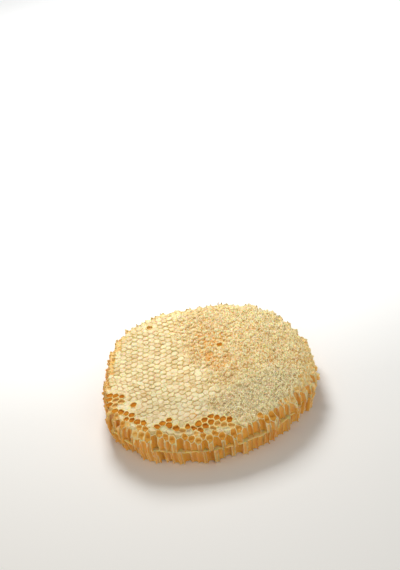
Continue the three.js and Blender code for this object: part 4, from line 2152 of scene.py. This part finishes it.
@dataclass(frozen=True)
class FloorFinish:
    """The plain pale floor.

    Attributes:
        name: the material's name.
        colour: its colour.
        roughness: how matt it is.
    """

    name: str = "pale floor"
    colour: Colour = (0.92, 0.93, 0.94)
    roughness: float = 0.8

    def material(self) -> bpy.types.Material:
        """Makes the material."""
        return Graph(self.name).finish({"Base Color": self.colour, "Roughness": self.roughness})


class Slot(Enum):
    """The library's names for the two finishes."""

    WAX = "wax"
    HONEY = "honey"


# ---- the studio ----


@dataclass(frozen=True)
class Lamp:
    """A square soft light.

    Attributes:
        name: its name.
        place: where it hangs, in metres.
        size: how long its sides are, in metres.
        power: its power in watts.
        colour: its colour.
        aim: the point that it faces.
    """

    name: str
    place: tuple[float, float, float]
    size: float
    power: float
    colour: Colour = (1.0, 1.0, 1.0)
    aim: tuple[float, float, float] = (0.0, 0.0, 0.0)

    def build(self) -> None:
        """Puts the light up."""
        data = bpy.data.lights.new(self.name, "AREA")
        data.shape, data.size, data.energy, data.color = "SQUARE", self.size, self.power, self.colour
        lamp = bpy.data.objects.new(self.name, data)
        lamp.location = self.place
        ahead = Vector(self.aim) - Vector(self.place)
        lamp.rotation_euler = ahead.to_track_quat("-Z", "Y").to_euler()
        bpy.context.scene.collection.objects.link(lamp)


@dataclass(frozen=True)
class Studio:
    """Floor, light and camera.

    Attributes:
        sky: how strong the even light from all round is.
        sky_colour: its colour.
        lamps: the lamps.
        floor_reach: how far the floor runs from the middle, in metres.
        floor_drop: how far it lies under the comb, in millimetres.
        eye: where the camera stands, in millimetres.
        turn: how far it is turned to the right, in degrees.
        pitch: how far it looks down.
        roll: how far it leans.
        lens: its focal length, in millimetres.
        sensor: the width of its sensor.
    """

    sky: float = 0.29
    sky_colour: Colour = (1.0, 0.98, 0.94)
    lamps: tuple[Lamp, ...] = (
        Lamp("key light", (-0.06, 0.44, 0.50), 0.28, 3.85, (1.0, 0.985, 0.95)),
        Lamp("fill light", (0.3, -1.05, 0.42), 0.9, 4.4, (1.0, 0.93, 0.80)),
        Lamp("warm light", (-0.9, -0.35, 0.16), 0.4, 1.6, (1.0, 0.74, 0.40)),
        Lamp("backdrop light", (0.0, 0.55, 0.55), 0.6, 6.0, aim=(0.0, 1.1, 0.0)),
    )
    floor_reach: float = 6.0
    floor_drop: float = 0.2
    eye: tuple[float, float, float] = (-5.05, -714.7, 618.6)
    turn: float = 0.713
    pitch: float = 35.309
    roll: float = -8.239
    lens: float = 71.574
    sensor: float = 36.0

    def build(self) -> None:
        """Builds all of it."""
        self._floor()
        for lamp in self.lamps:
            lamp.build()
        self._sky()
        self._camera()

    def _floor(self) -> None:
        """A wide plane under the comb."""
        mesh = bpy.data.meshes.new("floor")
        reach = self.floor_reach
        corners = [(reach * x, reach * y, 0) for x, y in ((-1, -1), (1, -1), (1, 1), (-1, 1))]
        mesh.from_pydata(corners, [], [(0, 1, 2, 3)])
        mesh.materials.append(FloorFinish().material())
        floor = bpy.data.objects.new("floor", mesh)
        floor.location.z = -self.floor_drop * MM
        bpy.context.scene.collection.objects.link(floor)
        floor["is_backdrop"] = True

    def _sky(self) -> None:
        """Even white light from all round."""
        world = bpy.data.worlds.new("studio")
        world.use_nodes = True
        background = world.node_tree.nodes["Background"]
        background.inputs["Color"].default_value = (*self.sky_colour, 1.0)
        background.inputs["Strength"].default_value = self.sky
        bpy.context.scene.world = world
        bpy.context.scene.view_settings.view_transform = "Standard"

    def _camera(self) -> None:
        """A camera that looks down on the comb from the front."""
        turn, pitch, roll = (math.radians(v) for v in (self.turn, self.pitch, self.roll))
        forward = Vector(
            (math.sin(turn) * math.cos(pitch), math.cos(turn) * math.cos(pitch), -math.sin(pitch)))
        right = Vector((math.cos(turn), -math.sin(turn), 0))
        up = right.cross(forward)
        rolled = right * math.cos(roll) + up * math.sin(roll)
        upright = up * math.cos(roll) - right * math.sin(roll)
        data = bpy.data.cameras.new("camera")
        data.lens, data.sensor_width = self.lens, self.sensor
        camera = bpy.data.objects.new("camera", data)
        axes = Matrix((rolled, upright, -forward)).transposed().to_4x4()
        camera.matrix_world = Matrix.Translation(Vector(self.eye) * MM) @ axes
        bpy.context.scene.collection.objects.link(camera)
        bpy.context.scene.camera = camera


# ---- all of it ----


@dataclass
class Honeycomb:
    """The whole comb: its pieces, their finishes and their places.

    Attributes:
        form: its sizes.
        lower_drawn_in: how much sooner the lower layer's rows end.
        zone_line: how far the plump caps' piece ends before the crinkled ones begin.
    """

    form: Form = field(default_factory=Form)
    lower_drawn_in: float = 0.9
    zone_line: float = 6.0

    def build(self) -> list[Piece]:
        """Builds and dresses every piece.

        Returns:
            The pieces.
        """
        face, form = Face(self.form), self.form
        upper = Layer(form, Side.UPPER, aside=0.0, seed=1, drawn_in=0.0)
        lower = Layer(
            form, Side.LOWER, aside=form.pitch / math.sqrt(3), seed=31, drawn_in=self.lower_drawn_in)
        plump, back, front = self._zones(face, upper)
        open_, torn = upper.of_kind(Kind.OPEN), upper.of_kind(Kind.TORN)
        filled = [cell for cell in open_ if (cell.i, cell.j) not in face.dry]
        torn_lip = OpenCells(
            face, "torn_cell_walls", TORN_LIP, depth=(0.4, 1.5), depth_at_left=0.4, honey_drop=0.4,
            pale_at_back=0.85, pale_at_right=0.55, soak=0.25, soak_at_left=1.3, rim=0.4, roughness=0.4,
        )
        thick = [
            Cappings(face, "cappings_plump").build(plump),
            Cappings(face, "cappings_crinkled_back").build(back),
            Cappings(face, "cappings_crinkled_front").build(front),
        ]
        edges = [OpenCells(face, "open_cell_walls", LIP).build(open_), torn_lip.build(torn)]
        flanks = [
            Flank(face, "flank_upper", per_side=9, rows=26).build(upper),
            Flank(face, "flank_lower", per_side=5, rows=22).build(lower),
        ]
        edges.append(BrokenWalls(face, "broken_walls_upper").build(upper))
        edges.append(BrokenWalls(face, "broken_walls_lower").build(lower))
        flanks.append(MidribEdge(face, "midrib_edge").build())
        thick.append(Underside(face, "cappings_underneath", HexPatch(4)).build(lower))
        loose = [Shreds(face, "wax_shreds").build(open_)]
        honey = [Honey(face, "honey_in_cells").build(filled)]
        self._dress(thick, WaxFinish().material(), Slot.WAX)
        self._dress(edges, THIN_WAX.material(), Slot.WAX)
        self._dress(flanks, FLANK_WAX.material(), Slot.WAX)
        self._dress(loose, LOOSE_WAX.material(), Slot.WAX)
        self._dress(honey, HoneyFinish().material(), Slot.HONEY)
        return thick + edges + flanks + loose + honey

    @staticmethod
    def _dress(pieces: Sequence[Piece], material: bpy.types.Material, slot: Slot) -> None:
        """Gives pieces their finish and says what they belong to.

        Args:
            pieces: the pieces.
            material: their finish.
            slot: the library's name for it; not used.
        """
        for piece in pieces:
            piece.data.materials.append(material)
            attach(piece, BODY)
            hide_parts(NODE)

    def _zones(self, face: Face, layer: Layer) -> tuple[list[Cell], list[Cell], list[Cell]]:
        """Parts the capped cells.

        Args:
            face: what the face is like.
            layer: the upper layer.

        Returns:
            The plump caps' cells, and the crinkled ones' at the back and at the front.
        """
        plump, back, front = [], [], []
        for cell in layer.of_kind(Kind.CAPPED):
            x, y = cell.middle
            if x < face.crinkle_edge(y) - self.zone_line:
                plump.append(cell)
            elif y > 0:
                back.append(cell)
            else:
                front.append(cell)
        return plump, back, front


def main() -> None:
    """Builds the comb and its studio, and works out the comb's bounds beside the solid's."""
    logging.basicConfig(level=logging.INFO, format="%(message)s")
    for piece in Honeycomb().build():
        log.info("%s: %d faces", piece.name, len(piece.data.polygons))
    Studio().build()
    boxes = {"solid": CAD_BOX, "visual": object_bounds()}
    {name: [list(corner) for corner in box] for name, box in boxes.items()}


if __name__ == "__main__":
    main()
